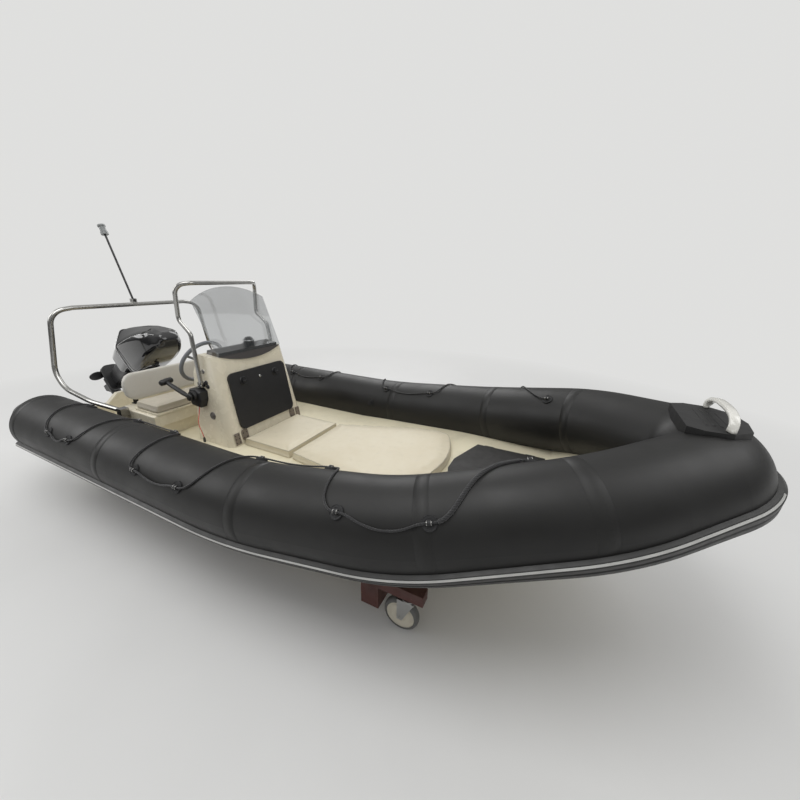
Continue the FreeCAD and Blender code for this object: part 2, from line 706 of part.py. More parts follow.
def make_bench():
    """Locker moulding with a stepped front, open under the seat."""
    front, back = size("bench_front"), size("bench_back")
    profile = slab(((back, -bench_half, size("deck_height")), (front - 34, -bench_half, size("deck_height")),
                    (front - 20, -bench_half, bench_top - 92), (front, -bench_half, bench_top - 84),
                    (front, -bench_half, bench_top), (back, -bench_half, bench_top)),
                   (0, 2 * bench_half, 0))
    wall = size("bench_wall")
    well = box((lid_back + ledge, -bench_half + 60, size("deck_height") + wall),
               (front - 34 - wall, bench_half - 60, bench_top + 10))
    body = profile.cut(well)
    rim = [edge for edge in body.Edges if edge.BoundBox.ZMin > bench_top - 1
           and (edge.BoundBox.XMin > front - 1 or abs(edge.BoundBox.YMin) > bench_half - 1)]
    return body.makeFillet(10, rim)


bench = make_bench().cut(collar_seat)
piece("bench_locker", bench)
lid_low = bench_top + size("lid_lift")
lid_top = lid_low + size("lid_thickness")
lid = box((lid_back, -bench_half + 18, lid_low), (size("bench_front") + 6, bench_half - 18, lid_top))
lid = lid.makeFillet(24, [e for e in lid.Edges if e.BoundBox.ZLength > 5])
pin_x, pin_z = lid_back - 5, lid_low + size("lid_thickness") / 2
barrel = rod((pin_x, -bench_half + 60, pin_z), (pin_x, bench_half - 60, pin_z), 6.5)
piece("seat_lid", lid.fuse(barrel))
cushion = box((lid_back + 4, -bench_half + 26, lid_top + size("fit_gap")),
              (size("bench_front") - 2, bench_half - 26, lid_top + size("cushion_thickness")))
piece("seat_cushion", cushion.makeFillet(20, [e for e in cushion.Edges if e.BoundBox.ZLength > 5]))


def make_backrest():
    """Padded board with well rounded ends, leaning slightly aft."""
    width, height = 2 * (bench_half - 22), size("backrest_height")
    board = rounded_plate(width, height, 42, 84)
    board.Placement = FreeCAD.Placement(V(size("backrest_at") - 42, 0, size("backrest_low")),
                                        FreeCAD.Rotation(V(0, 1, 0), -4))
    return board


piece("backrest", make_backrest())
brackets = []
for side in (-1, 1):
    y = side * (bench_half - 110)
    foot = box((size("backrest_at") - 96, y - 22, bench_top), (size("backrest_at") - 54, y + 22, bench_top + 5))
    post = box((size("backrest_at") - 78, y - 17, bench_top), (size("backrest_at") - 72, y + 17,
                                                              size("backrest_low") + 120))
    arm = rod((size("backrest_at") - 76, y, size("backrest_low") + 90),
              (size("backrest_at") - 30, y, size("backrest_low") + 90), 9)
    brackets.append(fused([foot, post, arm]))
piece("backrest_brackets", together(brackets).cut(make_backrest()))


# Stern arch and its folding light mast
arch_half = bench_half + 40
ARCH_SIDE = ((545, arch_half - 10, 668), (250, arch_half + 46, 705), (30, arch_half + 96, 790),
             (-62, arch_half + 92, 905), (size("arch_x"), arch_half + 18, size("arch_top") - 20),
             (size("arch_x"), arch_half - 120, size("arch_top")))
arch_points = [(x, -y, z) for x, y, z in ARCH_SIDE] + list(reversed(ARCH_SIDE))
arch = swept_tube(bend_path(arch_points, (300, 220, 150, 120, 130, 130, 120, 150, 220, 300)),
                  size("arch_radius"))
sockets = []
for side in (-1, 1):
    inner, outer = sorted((side * (bench_half + size("fit_gap")), side * (arch_half + 16)))
    sockets.append(box((515, inner, 628), (575, outer, 690)))
arch_feet = fused([arch] + sockets)
piece("stern_arch", arch_feet.cut(bench).cut(collar_seat))
mast_foot = V(size("arch_x"), 0, size("arch_top") + size("mast_pin_rise"))
mast_dir = V(-math.sin(math.radians(size("mast_lean"))), 0, math.cos(math.radians(size("mast_lean"))))
clevis_low, clevis_high = size("arch_top") + 6, mast_foot.z + 14
clevis = [box((mast_foot.x - 18, -19, clevis_low), (mast_foot.x + 18, 19, clevis_low + 14))]
for side in (-1, 1):
    clevis.append(box((mast_foot.x - 18, side * 15 - 4, clevis_low),
                      (mast_foot.x + 18, side * 15 + 4, clevis_high)))


def across(half, radius):
    """A round bar across the boat through the mast's pin."""
    return rod((mast_foot.x, -half, mast_foot.z), (mast_foot.x, half, mast_foot.z), radius)


piece("mast_clevis", fused(clevis + [across(22, 4)]).cut(arch))
stem = rod(tuple(mast_foot + mast_dir * 8), tuple(mast_foot + mast_dir * size("mast_length")), 8)
piece("light_mast", across(10, 12).fuse(stem).cut(across(30, 4.2)))
lamp_low = mast_foot + mast_dir * (size("mast_length") + 0.3)
lamp = Part.makeCylinder(27, 22, lamp_low, mast_dir)
lamp = lamp.fuse(Part.makeCylinder(22, 44, lamp_low + mast_dir * 22, mast_dir))
lamp = lamp.fuse(Part.makeCylinder(28, 12, lamp_low + mast_dir * 66, mast_dir))
piece("mast_lamp", lamp)


# Outboard, drawn upright round its tilt axis and then tilted up
tilt_at = V(size("tilt_axis_x"), 0, size("tilt_axis_z"))
tilt_turn = FreeCAD.Rotation(V(0, 1, 0), size("tilt_up"))


def tilted(shape):
    placed = shape.copy()
    seat = FreeCAD.Placement(tilt_at, tilt_turn)
    placed.Placement = seat.multiply(shape.Placement)
    return placed


def level_ring(z, corners):
    """A level outline, alike to port and starboard; x, half breadth and radius from the front."""
    points = [V(x, half, z) for x, half, radius in corners]
    points += [V(x, -half, z) for x, half, radius in reversed(corners)]
    radii = [radius for x, half, radius in corners]
    edges, arcs = [], []
    for before, corner, after, radius in zip(points[-1:] + points, points, points[1:] + points[:1],
                                             radii + radii[::-1]):
        back, ahead = (before - corner).normalize(), (after - corner).normalize()
        half_turn = (math.pi - back.getAngle(ahead)) / 2
        reach = radius * math.tan(half_turn)
        middle = corner + (back + ahead).normalize() * (radius / math.cos(half_turn) - radius)
        arcs.append((corner + back * reach, middle, corner + ahead * reach))
    for (enter, middle, leave), (following, *_) in zip(arcs, arcs[1:] + arcs[:1]):
        edges.append(Part.Arc(enter, middle, leave).toShape())
        edges.append(Part.LineSegment(leave, following).toShape())
    return Part.Wire(edges)


def lofted(sections):
    return Part.makeLoft([level_ring(z, corners) for z, corners in sections], True, True)


tip_gap = 0.3
bracket = []
transom_back = -size("transom_thickness")
rise = tilt_at.z - size("transom_height")
for side in (-1, 1):
    y = side * 102 - 7
    plate = slab(((30, y, 590), (30, y, 668), (10, y, 690), (tilt_at.x + 14, y, tilt_at.z + 20),
                  (tilt_at.x - 14, y, tilt_at.z + 20), (tilt_at.x - 30, y, tilt_at.z - 10),
                  (transom_back - 42, y, 520), (transom_back - 24, y, 400), (transom_back - tip_gap, y, 400),
                  (transom_back - tip_gap, y, size("transom_height") + tip_gap),
                  (tip_gap, y, size("transom_height") + tip_gap), (tip_gap, y, 590)), (0, 14, 0))
    screw = rod((26, y + 7, 612), (78, y + 7, 612), 8)
    handle = rod((74, y - 18, 612), (74, y + 32, 612), 5)
    bracket += [plate, screw, handle]
tilt_tube = rod((tilt_at.x, -128, tilt_at.z), (tilt_at.x, 128, tilt_at.z), 12)
lower_rod = rod((transom_back - 26, -108, 430), (transom_back - 26, 108, 430), 8)
piece("clamp_bracket", fused(bracket + [tilt_tube, lower_rod]))

steer_x = size("steer_axis_x")
swivel = box((-96, -80, -226), (-22, 80, 2)).fuse(rod((0, -80, 0), (0, 80, 0), 24))
swivel = swivel.fuse(box((-30, -80, -24), (0, 80, 12))).cut(box((-140, -54, -240), (-52, 54, -30)))
swivel = swivel.fuse(rod((steer_x, 0, -290), (steer_x, 0, 2), 32)).fuse(
    box((steer_x, -16, -200), (-40, 16, -20)))
swivel = swivel.cut(rod((0, -90, 0), (0, 90, 0), 12.3)).cut(rod((steer_x, 0, -400), (steer_x, 0, 50), 16.3))
piece("swivel_bracket", tilted(swivel))

# height, then x, half breadth and corner radius from the front, at each level
LEG = (
    (19, ((-172, 84, 24), (-380, 92, 50))),
    (-120, ((-178, 78, 24), (-372, 78, 50))),
    (-330, ((-186, 52, 20), (-350, 52, 40))),
    (-560, ((-196, 34, 14), (-344, 34, 26))),
)
SKIRT = (
    (-176, ((-172, 112, 30), (-330, 120, 60), (-424, 60, 40))),
    (20, ((-166, 140, 34), (-330, 160, 80), (-462, 70, 50))),
)
PAN = (
    (20, ((-66, 128, 60), (-330, 160, 80), (-462, 70, 50))),
    (130, ((-46, 146, 70), (-330, 176, 90), (-478, 74, 56))),
)
COWL = (
    (24, ((-60, 132, 60), (-330, 166, 80), (-468, 72, 52))),
    (130, ((-44, 150, 72), (-318, 180, 90), (-456, 72, 56))),
    (300, ((-36, 156, 80), (-292, 180, 96), (-392, 66, 52))),
    (430, ((-44, 146, 78), (-262, 166, 90), (-320, 60, 40))),
    (530, ((-64, 116, 66), (-214, 128, 60), (-252, 48, 30))),
    (588, ((-100, 72, 40), (-160, 78, 24), (-184, 30, 16))),
)
split_cut = slab(((40, -300, 40), (-600, -300, 120), (-600, -300, 700), (40, -300, 700)), (0, 600, 0))
leg = lofted(LEG)
yoke_top = box((steer_x - 90, -46, 5), (steer_x + 26, 46, 19))
yoke_low = box((steer_x - 90, -44, -312), (steer_x + 26, 44, -296))
stem = rod((steer_x, 0, -312), (steer_x, 0, 19), 16)
leg = fused([leg, yoke_top, yoke_low, stem])
pan = lofted(SKIRT).fuse(lofted(PAN)).cut(split_cut).cut(leg)
cowl_keep = split_cut.copy()
cowl_keep.translate(V(0, 0, 1))
piece("engine_pan", tilted(pan))
piece("engine_cowl", tilted(lofted(COWL).common(cowl_keep)))
piece("engine_leg", tilted(leg))

shaft_z = -size("leg_drop")
gear_front, gear_back = -112, size("propeller_x") + 46
nose = Part.makeCone(6, 44, 60, V(gear_front, 0, shaft_z), V(-1, 0, 0))
torpedo = rod((gear_front - 60, 0, shaft_z), (gear_back, 0, shaft_z), 44)
strut = lofted(((-560.3, ((-196, 34, 14), (-344, 34, 26))),
                (shaft_z + 24, ((-168, 20, 10), (-330, 20, 14)))))
blade_clear = shaft_z + size("propeller_radius") + 5
plate = lofted([(z, ((-150, 92, 40), (-420, 92, 70))) for z in (blade_clear, blade_clear + 8)])
skeg = slab(((-170, -5, shaft_z - 36), (-300, -5, shaft_z - 36), (-318, -5, shaft_z - 172),
             (-262, -5, shaft_z - 176)), (0, 10, 0))
gearcase = fused([torpedo, nose, strut, plate, skeg])
gearcase = gearcase.cut(rod((gear_back - 5, 0, shaft_z), (gear_back + 60, 0, shaft_z), 11))
piece("gearcase", tilted(gearcase))

prop_x = size("propeller_x")
prop_hub = rod((gear_back - 6, 0, shaft_z), (prop_x - 46, 0, shaft_z), 34)
prop_tail = Part.makeCone(34, 20, 22, V(prop_x - 46, 0, shaft_z), V(-1, 0, 0))
prop_shaft = rod((gear_back - 20, 0, shaft_z), (gear_back + 50, 0, shaft_z), 10.6)
blades = []
for turn in (90, 210, 330):
    blade = Part.Face(Part.Wire(Part.Ellipse(V(0, 0, 0), 66, 50).toShape())).extrude(V(0, 0, 6))
    blade.Placement = FreeCAD.Placement(V(0, 0, 79), FreeCAD.Rotation(V(0, 1, 0), -90))
    pitch = FreeCAD.Placement(V(), FreeCAD.Rotation(V(0, 0, 1), 32))
    spin = FreeCAD.Placement(V(prop_x, 0, shaft_z), FreeCAD.Rotation(V(1, 0, 0), turn))
    blade.Placement = spin.multiply(pitch.multiply(blade.Placement))
    blades.append(blade)
piece("propeller", tilted(fused([prop_hub, prop_tail, prop_shaft] + blades)))


# Dolly: cross beams, side rails, keel blocks, bunks and four castors
beam_low = size("keel_height") - 15 - size("beam_height")
beam_top = size("keel_height") - 15
side_y, rail_low = size("castor_side"), size("castor_height")
half_rail = size("rail_beam") / 2
BEAMS = (520, 1650, 2745)
beams, rails = [], []
for x in BEAMS:
    half = size("beam_width") / 2
    beam = [box((x - half, -side_y - half_rail, beam_low), (x + half, side_y + half_rail, beam_top))]
    for side in (-1, 1):
        beam.append(box((x - half, side * side_y - half_rail, beam_top),
                        (x + half, side * side_y + half_rail, rail_low)))
    beams.append(fused(beam))
for side in (-1, 1):
    rails.append(box((size("castor_rear") - 80, side * side_y - half_rail, rail_low),
                     (size("castor_front") + 80, side * side_y + half_rail, rail_low + size("rail_beam"))))
piece("dolly_beams", together(beams))
piece("dolly_rails", together(rails))

blocks = []
for x in BEAMS:
    block = box((x - 45, -70, beam_top), (x + 45, 70, beam_top + 80))
    blocks.append(block.cut(hull))
bunks = []
slope = math.atan2(388 - size("keel_height"), 640)
for side in (-1, 1):
    y0, y1 = 330, 430
    z0 = size("keel_height") + y0 * math.tan(slope)
    z1 = size("keel_height") + y1 * math.tan(slope)
    board = slab([(380, side * y, z) for y, z in ((y0, z0 + 12), (y1, z1 + 12), (y1, z1 - 42), (y0, z0 - 42))],
                 (1420, 0, 0))
    board = board.cut(hull)
    posts = []
    for x in BEAMS[:2]:
        posts.append(slab([(x - 40, side * y, z) for y, z in ((y0 + 15, beam_top), (y1 - 15, beam_top),
                           (y1 - 15, z1 - 46), (y0 + 15, z0 - 36))], (80, 0, 0)))
    bunks.append(fused([board] + posts))
piece("bunks", together(blocks + bunks))

plate_depth, wheel_r = 8, size("castor_radius")
for name, x, y in (("fore_port", "castor_front", 1), ("fore_starboard", "castor_front", -1),
                   ("aft_port", "castor_rear", 1), ("aft_starboard", "castor_rear", -1)):
    at = V(size(x), y * side_y, 0)
    axle_x = -size("castor_trail")
    half = size("castor_width") / 2
    fork = [rod((0, 0, rail_low - 12), (0, 0, rail_low - size("fit_gap")), 36)]
    fork.append(box((-52, -half - 10, rail_low - 22), (34, half + 10, rail_low - 12)))
    for side in (-1, 1):
        y_low = side * (half + 7.5) - 2.5
        fork.append(slab(((axle_x - 14, y_low, wheel_r - 14), (axle_x + 14, y_low, wheel_r - 14),
                          (34, y_low, rail_low - 14), (-52, y_low, rail_low - 14)), (0, 5, 0)))
    fork.append(rod((axle_x, -half - 14, wheel_r), (axle_x, half + 14, wheel_r), 7))
    fork = fused(fork)
    fork.translate(at)
    wheel = rod((axle_x, -half, wheel_r), (axle_x, half, wheel_r), wheel_r)
    wheel = wheel.makeChamfer(8, [e for e in wheel.Edges if isinstance(e.Curve, Part.Circle)])
    wheel = wheel.cut(rod((axle_x, -half - 5, wheel_r), (axle_x, half + 5, wheel_r), 7.3))
    wheel.translate(at)
    piece("castor_fork_" + name, fork)
    piece("castor_wheel_" + name, wheel)


# Lacing eyelets on their patches, and the grab line that runs through them

# distance along the tube from the stern, angle up from its outer side
EYELETS = ((500, 118), (560, 33), (800, 33), (1050, 120), (1400, 123), (1500, 31), (1850, 32),
           (2120, 124), (2550, 127), (2740, 45), (3090, 40), (3500, 128))
line_radius, ear_lift = size("grab_line_radius"), 11
eyelets = []
for distance, angle in EYELETS:
    middle, along, out, over = collar_at(distance)
    foot = on_collar(distance, angle, 5)
    ear_at = on_collar(distance, angle, ear_lift)
    up = (foot - middle).normalize()
    patch = Part.makeCylinder(30, 16, foot - up * 16, up)
    neck = Part.makeCylinder(8, 9, foot - up * 3, up)
    ear = Part.makeCylinder(10, 14, ear_at - along * 7, along)
    hole = Part.makeCylinder(line_radius + 0.3, 30, ear_at - along * 15, along)
    eyelets.append(fused([patch, neck, ear]).cut(hole).cut(collar_seat))
piece("lacing_eyelets", together(eyelets + [mirrored(e) for e in eyelets]))

# The route of a grab line, chosen by hand: distance along the tube, angle, lift over its skin
GRAB_LINE = (
    (500, 118, 11), (464, 118, 11), (440, 108, 8.5), (432, 93, 8), (438, 76, 8), (454, 60, 7.5),
    (480, 46, 7.5), (526, 33, 11), (594, 33, 11), (636, 27, 7), (680, 24, 6), (724, 26, 7),
    (766, 33, 11), (834, 33, 11), (874, 40, 8), (906, 53, 7.5), (932, 69, 8), (955, 86, 8),
    (980, 103, 8.5), (1016, 120, 11), (1084, 120, 11), (1150, 126, 7), (1225, 129, 6), (1300, 128, 7),
    (1366, 123, 11), (1434, 123, 11), (1466, 114, 8.5), (1482, 99, 8), (1483, 82, 8), (1474, 66, 7.5),
    (1460, 52, 7.5), (1452, 40, 8), (1466, 31, 11), (1534, 31, 11), (1600, 27, 7), (1675, 25, 6),
    (1750, 27, 7), (1816, 32, 11), (1884, 32, 11), (1924, 39, 8), (1958, 51, 7.5), (1988, 66, 7.5),
    (2014, 82, 7.5), (2036, 98, 7.5), (2056, 113, 8.5), (2086, 124, 11), (2154, 124, 11),
    (2235, 130, 7), (2335, 133, 6), (2435, 131, 7), (2516, 127, 11), (2584, 127, 11), (2616, 118, 8.5),
    (2633, 103, 7.5), (2644, 87, 7.5), (2652, 71, 7.5), (2668, 56, 8.5), (2706, 45, 11), (2774, 45, 11),
    (2840, 37, 7), (2915, 32, 6), (2990, 33, 7), (3056, 40, 11), (3124, 40, 11), (3166, 47, 8),
    (3206, 60, 7.5), (3246, 75, 7.5), (3290, 90, 7.5), (3342, 105, 7.5), (3400, 118, 8),
    (3464, 128, 11), (3500, 128, 11),
)
line_points = [tuple(on_collar(*row)) for row in GRAB_LINE]
line_arcs = limp_radii(line_points)
line_path = bend_path(line_points, line_arcs)
grab_line = swept_tube(line_path, line_radius)
print("grab line: length %.0f mm, smallest bend %.0f mm" % (line_path.Length, min(line_arcs)))
print("grab line volume over section times length: %.4f"
      % (grab_line.Volume / (math.pi * line_radius ** 2 * line_path.Length)))
piece("grab_line_starboard", grab_line)
piece("grab_line_port", mirrored(grab_line))

# Red kill cord hanging beside the console from the throttle box, with its clip
KILL_CORD = ((1184, -372, 764.6), (1185, -378, 736), (1189, -392, 700), (1187, -404, 655),
             (1193, -403, 610), (1199, -396, 570), (1200, -392, 536))
cord_radius = size("kill_cord_radius")
cord_arcs = limp_radii(KILL_CORD)
cord_path = bend_path(KILL_CORD, cord_arcs)
kill_cord = swept_tube(cord_path, cord_radius)
print("kill cord: length %.0f mm, smallest bend %.0f mm" % (cord_path.Length, min(cord_arcs)))
print("kill cord volume over section times length: %.4f"
      % (kill_cord.Volume / (math.pi * cord_radius ** 2 * cord_path.Length)))
piece("kill_cord", kill_cord)
cord_end = V(*KILL_CORD[-1])
cord_tail = (cord_end - V(*KILL_CORD[-2])).normalize()
clip = Part.makeCylinder(6, 12, cord_end, cord_tail)
clip = clip.fuse(box((cord_end.x - 9, cord_end.y - 4, cord_end.z - 36), (cord_end.x + 9, cord_end.y + 4,
                                                                        cord_end.z - 9)))
piece("kill_cord_clip", clip)


# Small fittings: inflation valves on the collar's inner side, towing eyes on the transom
valves = []
for distance, angle in ((2000, 163), (900, 163)):
    middle, along, out, over = collar_at(distance)
    up = (on_collar(distance, angle) - middle).normalize()
    flange = Part.makeCylinder(27, 14, on_collar(distance, angle, 4) - up * 14, up)
    cap = Part.makeCylinder(17, 9, on_collar(distance, angle, 4), up)
    valves.append(flange.fuse(cap).cut(collar_seat))
piece("inflation_valves", together(valves + [mirrored(v) for v in valves]))

eyes = []
for side in (-1, 1):
    y = side * 300
    back = -size("transom_thickness")
    plate = box((back - 6, y - 24, 420), (back, y + 24, 500))
    ear = slab(((back - 6, y - 22, 455), (back - 36, y - 18, 455), (back - 50, y - 8, 455),
                (back - 50, y + 8, 455), (back - 36, y + 18, 455), (back - 6, y + 22, 455)), (0, 0, 10))
    eyes.append(plate.fuse(ear).cut(rod((back - 34, y, 440), (back - 34, y, 480), 8)))
piece("towing_eyes", together(eyes))


# Checks on the finished pieces, then one file for each

doc.recompute()
for thing in doc.Objects:
    if {"Invalid", "Error"} & set(thing.State):
        raise RuntimeError("failed: " + thing.Label)
for feature in pieces:
    if feature.Shape.isNull() or not feature.Shape.isValid() or not feature.Shape.Solids:
        raise RuntimeError("not a sound solid: " + feature.Label)
os.makedirs("parts", exist_ok=True)
for feature in pieces:
    feature.Shape.exportStep("parts/%s.step" % feature.Label)
whole = Part.makeCompound([feature.Shape for feature in pieces]).BoundBox
print("%d pieces, x %.1f to %.1f, y %.1f to %.1f, z %.1f to %.1f"
      % (len(pieces), whole.XMin, whole.XMax, whole.YMin, whole.YMax, whole.ZMin, whole.ZMax))
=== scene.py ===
"""Finishes and soft goods for a rigid inflatable boat that stands on its castor dolly."""
import json
import math

import bmesh
import bpy
from bpy.props import FloatProperty, FloatVectorProperty, PointerProperty
from bpy.types import Operator, Panel, PropertyGroup
from mathutils import Matrix, Vector
from mathutils.bvhtree import BVHTree


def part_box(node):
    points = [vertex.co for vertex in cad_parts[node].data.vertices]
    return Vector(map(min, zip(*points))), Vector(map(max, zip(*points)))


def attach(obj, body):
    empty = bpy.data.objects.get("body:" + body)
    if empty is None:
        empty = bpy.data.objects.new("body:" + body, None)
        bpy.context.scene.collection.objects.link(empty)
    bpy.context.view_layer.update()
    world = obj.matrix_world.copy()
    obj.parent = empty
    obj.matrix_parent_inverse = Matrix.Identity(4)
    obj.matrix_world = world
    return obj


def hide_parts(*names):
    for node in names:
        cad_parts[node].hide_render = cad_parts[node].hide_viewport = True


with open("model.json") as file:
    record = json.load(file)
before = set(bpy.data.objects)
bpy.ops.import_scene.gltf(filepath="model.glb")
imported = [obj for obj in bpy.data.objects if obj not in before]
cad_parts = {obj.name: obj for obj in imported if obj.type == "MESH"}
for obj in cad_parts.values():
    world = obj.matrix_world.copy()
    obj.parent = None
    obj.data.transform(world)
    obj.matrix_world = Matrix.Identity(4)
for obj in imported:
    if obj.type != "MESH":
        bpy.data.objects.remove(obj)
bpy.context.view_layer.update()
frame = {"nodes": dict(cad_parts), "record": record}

bl_info = {
    "name": "Inflatable Boat Finishes",
    "version": (1, 0, 0),
    "blender": (4, 5, 0),
    "location": "View3D > Sidebar > Boat",
    "description": "Finishes, cushions, lines and fittings of a rigid inflatable boat",
    "category": "Object",
}

NODES = frame["nodes"]
UP = Vector((0, 0, 1))
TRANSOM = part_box("transom")[1][0]
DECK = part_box("console")[0][2]


# Sizes and colours that a user would change

def colour(name, text, value):
    return FloatVectorProperty(name=name, description=text, default=value, subtype="COLOR",
                               size=3, min=0, max=1)


def length(name, text, value):
    return FloatProperty(name=name, description=text, default=value, min=0, subtype="DISTANCE",
                         unit="LENGTH", precision=4)


class BoatColours(PropertyGroup):
    """Colours of the boat's main surfaces"""
    tube: colour("Collar", "Coated fabric of the inflated collar", (0.0078, 0.0076, 0.0071))
    gelcoat: colour("Gelcoat", "Hull, console and bench mouldings", (0.72, 0.665, 0.53))
    deck: colour("Deck", "Non-slip deck moulding", (0.76, 0.70, 0.52))
    vinyl: colour("Vinyl", "Covers of the deck pads and the seat", (0.62, 0.56, 0.42))
    board: colour("Backrest", "Cover of the backrest board", (0.55, 0.53, 0.48))
    stripe: colour("Stripe", "Bright stripe of the rubbing strake", (0.50, 0.50, 0.48))
    dolly: colour("Dolly", "Paint of the dolly's steel beams", (0.075, 0.020, 0.014))
    kill_cord: colour("Kill cord", "Safety cord of the outboard", (0.55, 0.012, 0.012))


class BoatSizes(PropertyGroup):
    """Sizes of what the finishes add"""
    rope: length("Grab line", "Diameter of the grab line", 0.010)
    splice: length("Splice", "Diameter of the grab line's doubled end", 0.018)
    rope_lay: length("Rope lay", "One turn of the rope's strands", 0.034)
    seam_width: length("Seam width", "Width of the tape over the collar's seams", 0.060)
    seam_rise: length("Seam rise", "Thickness of the tape over the collar's seams", 0.0004)
    piping: length("Piping", "Radius of the cushions' seam piping", 0.0022)
    pad_swell: length("Pad swell", "Furthest that a pad's cover swells", 0.009)
    cushion_voxel: length("Cushion voxel", "Mesh size that a cushion is simulated with", 0.008)
    screw: length("Screw head", "Radius of a fitting's screw head", 0.0042)


def sizes():
    return bpy.context.scene.boat_sizes


def colours():
    return bpy.context.scene.boat_colours


# Materials

# The frame brings plain materials named as its slots; these names keep clear of them
FINISH_PREFIX = "boat_"


class Shader:
    """A Principled material with its node tree at hand."""

    def __init__(self, name, base, rough, **sockets):
        self.made = bpy.data.materials.new(FINISH_PREFIX + name)
        self.made.use_nodes = True
        self.tree = self.made.node_tree
        self.principled = self.tree.nodes["Principled BSDF"]
        self.base = (*base[:3], 1)
        self.set("Base Color", self.base)
        self.set("Roughness", rough)
        for socket, value in sockets.items():
            self.set(socket.replace("_", " "), value)
        self.place = self.add("ShaderNodeTexCoord").outputs["Object"]
        self.height = None

    def set(self, socket, value):
        self.principled.inputs[socket].default_value = value

    def add(self, kind, **values):
        node = self.tree.nodes.new(kind)
        for key, value in values.items():
            if key in node.inputs:
                node.inputs[key].default_value = value
            else:
                setattr(node, key, value)
        return node

    def link(self, source, target):
        self.tree.links.new(source, target)
        return target

    def scaled(self, scale):
        mapping = self.add("ShaderNodeMapping")
        mapping.inputs["Scale"].default_value = scale
        self.link(self.place, mapping.inputs["Vector"])
        return mapping.outputs["Vector"]

    def noise(self, scale, detail, stretch=None):
        node = self.add("ShaderNodeTexNoise", Scale=scale, Detail=detail)
        self.link(self.scaled(stretch) if stretch else self.place, node.inputs["Vector"])
        return node.outputs["Fac"]

    def cells(self, scale):
        node = self.add("ShaderNodeTexVoronoi", feature="F1", Scale=scale)
        self.link(self.place, node.inputs["Vector"])
        return node.outputs["Distance"]

    def ranged(self, value, low, high, to_low, to_high):
        node = self.add("ShaderNodeMapRange")
        for socket, number in zip(("From Min", "From Max", "To Min", "To Max"),
                                  (low, high, to_low, to_high)):
            node.inputs[socket].default_value = number
        self.link(value, node.inputs["Value"])
        return node.outputs["Result"]

    def tint(self, value, other, low, high):
        """Blend the base colour towards another one where a pattern is high."""
        mix = self.add("ShaderNodeMix", data_type="RGBA")
        current = self.principled.inputs["Base Color"]
        if current.links:
            self.link(current.links[0].from_socket, mix.inputs["A"])
        else:
            mix.inputs["A"].default_value = self.base
        mix.inputs["B"].default_value = (*other[:3], 1)
        self.link(self.ranged(value, low, high, 0, 1), mix.inputs["Factor"])
        self.link(mix.outputs["Result"], current)
        return self

    def roughness(self, value, low, high):
        self.link(self.ranged(value, 0.3, 0.7, low, high), self.principled.inputs["Roughness"])
        return self

    def bump(self, value, depth, strength):
        node = self.add("ShaderNodeBump", Strength=strength, Distance=depth)
        self.link(value, node.inputs["Height"])
        if self.height:
            self.link(self.height, node.inputs["Normal"])
        self.height = node.outputs["Normal"]
        self.link(self.height, self.principled.inputs["Normal"])
        return self


def darker(base, share):
    return tuple(channel * share for channel in base[:3])


def coated_fabric(name, base, gloss):
    """Coated cloth: fine weave under the coating, scuffs and a little dust."""
    made = Shader(name, base, gloss, Specular_IOR_Level=0.42)
    made.tint(made.noise(1.7, 4), darker(base, 1.35), 0.42, 0.78)
    made.tint(made.noise(11, 5), darker(base, 0.8), 0.5, 0.8)
    made.roughness(made.noise(4.5, 4), gloss - 0.06, gloss + 0.08)
    weave = made.add("ShaderNodeTexWave", Scale=420.0, Distortion=0.4)
    made.link(made.place, weave.inputs["Vector"])
    made.bump(weave.outputs["Fac"], 0.00006, 0.2)
    made.bump(made.noise(4, 2), 0.006, 0.12)
    return made.made


def moulded(name, base, gloss, grain=650.0, depth=0.00015, coat=0.0, wear=0.85):
    """Moulded plastic or rubber with a fine grain."""
    made = Shader(name, base, gloss, Coat_Weight=coat, Coat_Roughness=0.08)
    made.tint(made.noise(9, 4), darker(base, wear), 0.46, 0.76)
    made.roughness(made.noise(22, 4), gloss - 0.05, gloss + 0.08)
    made.bump(made.noise(grain, 2), depth, 0.35)
    return made.made


def gelcoat(name, base):
    """Polished gelcoat, slightly wavy, a little yellowed and dusty in faint blotches."""
    made = Shader(name, base, 0.22, Coat_Weight=0.45, Coat_Roughness=0.06)
    made.tint(made.noise(2.1, 4), (base[0] * 0.97, base[1] * 0.965, base[2] * 0.93), 0.42, 0.8)
    made.tint(made.noise(26, 4), darker(base, 0.965), 0.56, 0.8)
    made.roughness(made.noise(18, 4), 0.16, 0.34)
    made.bump(made.noise(6, 2), 0.0012, 0.15)
    return made.made


def non_slip(name, base):
    """Deck moulding with a raised diamond grip."""
    made = Shader(name, base, 0.45, Coat_Weight=0.15, Coat_Roughness=0.2)
    made.tint(made.noise(5, 6), darker(base, 0.82), 0.5, 0.8)
    grid = made.add("ShaderNodeTexVoronoi", feature="F1", distance="CHEBYCHEV", Scale=110.0,
                    Randomness=0.0)
    made.link(made.place, grid.inputs["Vector"])
    made.bump(grid.outputs["Distance"], 0.0011, 0.5)
    made.roughness(made.noise(40, 3), 0.36, 0.6)
    return made.made


def vinyl(name, base):
    """Upholstery vinyl with a leather grain and soft creases."""
    made = Shader(name, base, 0.46, Sheen_Weight=0.12)
    made.tint(made.noise(3.1, 4), (base[0] * 0.95, base[1] * 0.93, base[2] * 0.9), 0.42, 0.75)
    made.tint(made.noise(24, 4), darker(base, 0.93), 0.56, 0.78)
    made.bump(made.cells(720.0), 0.0002, 0.35)
    made.bump(made.noise(16, 4), 0.0016, 0.25)
    made.roughness(made.noise(25, 3), 0.38, 0.56)
    return made.made


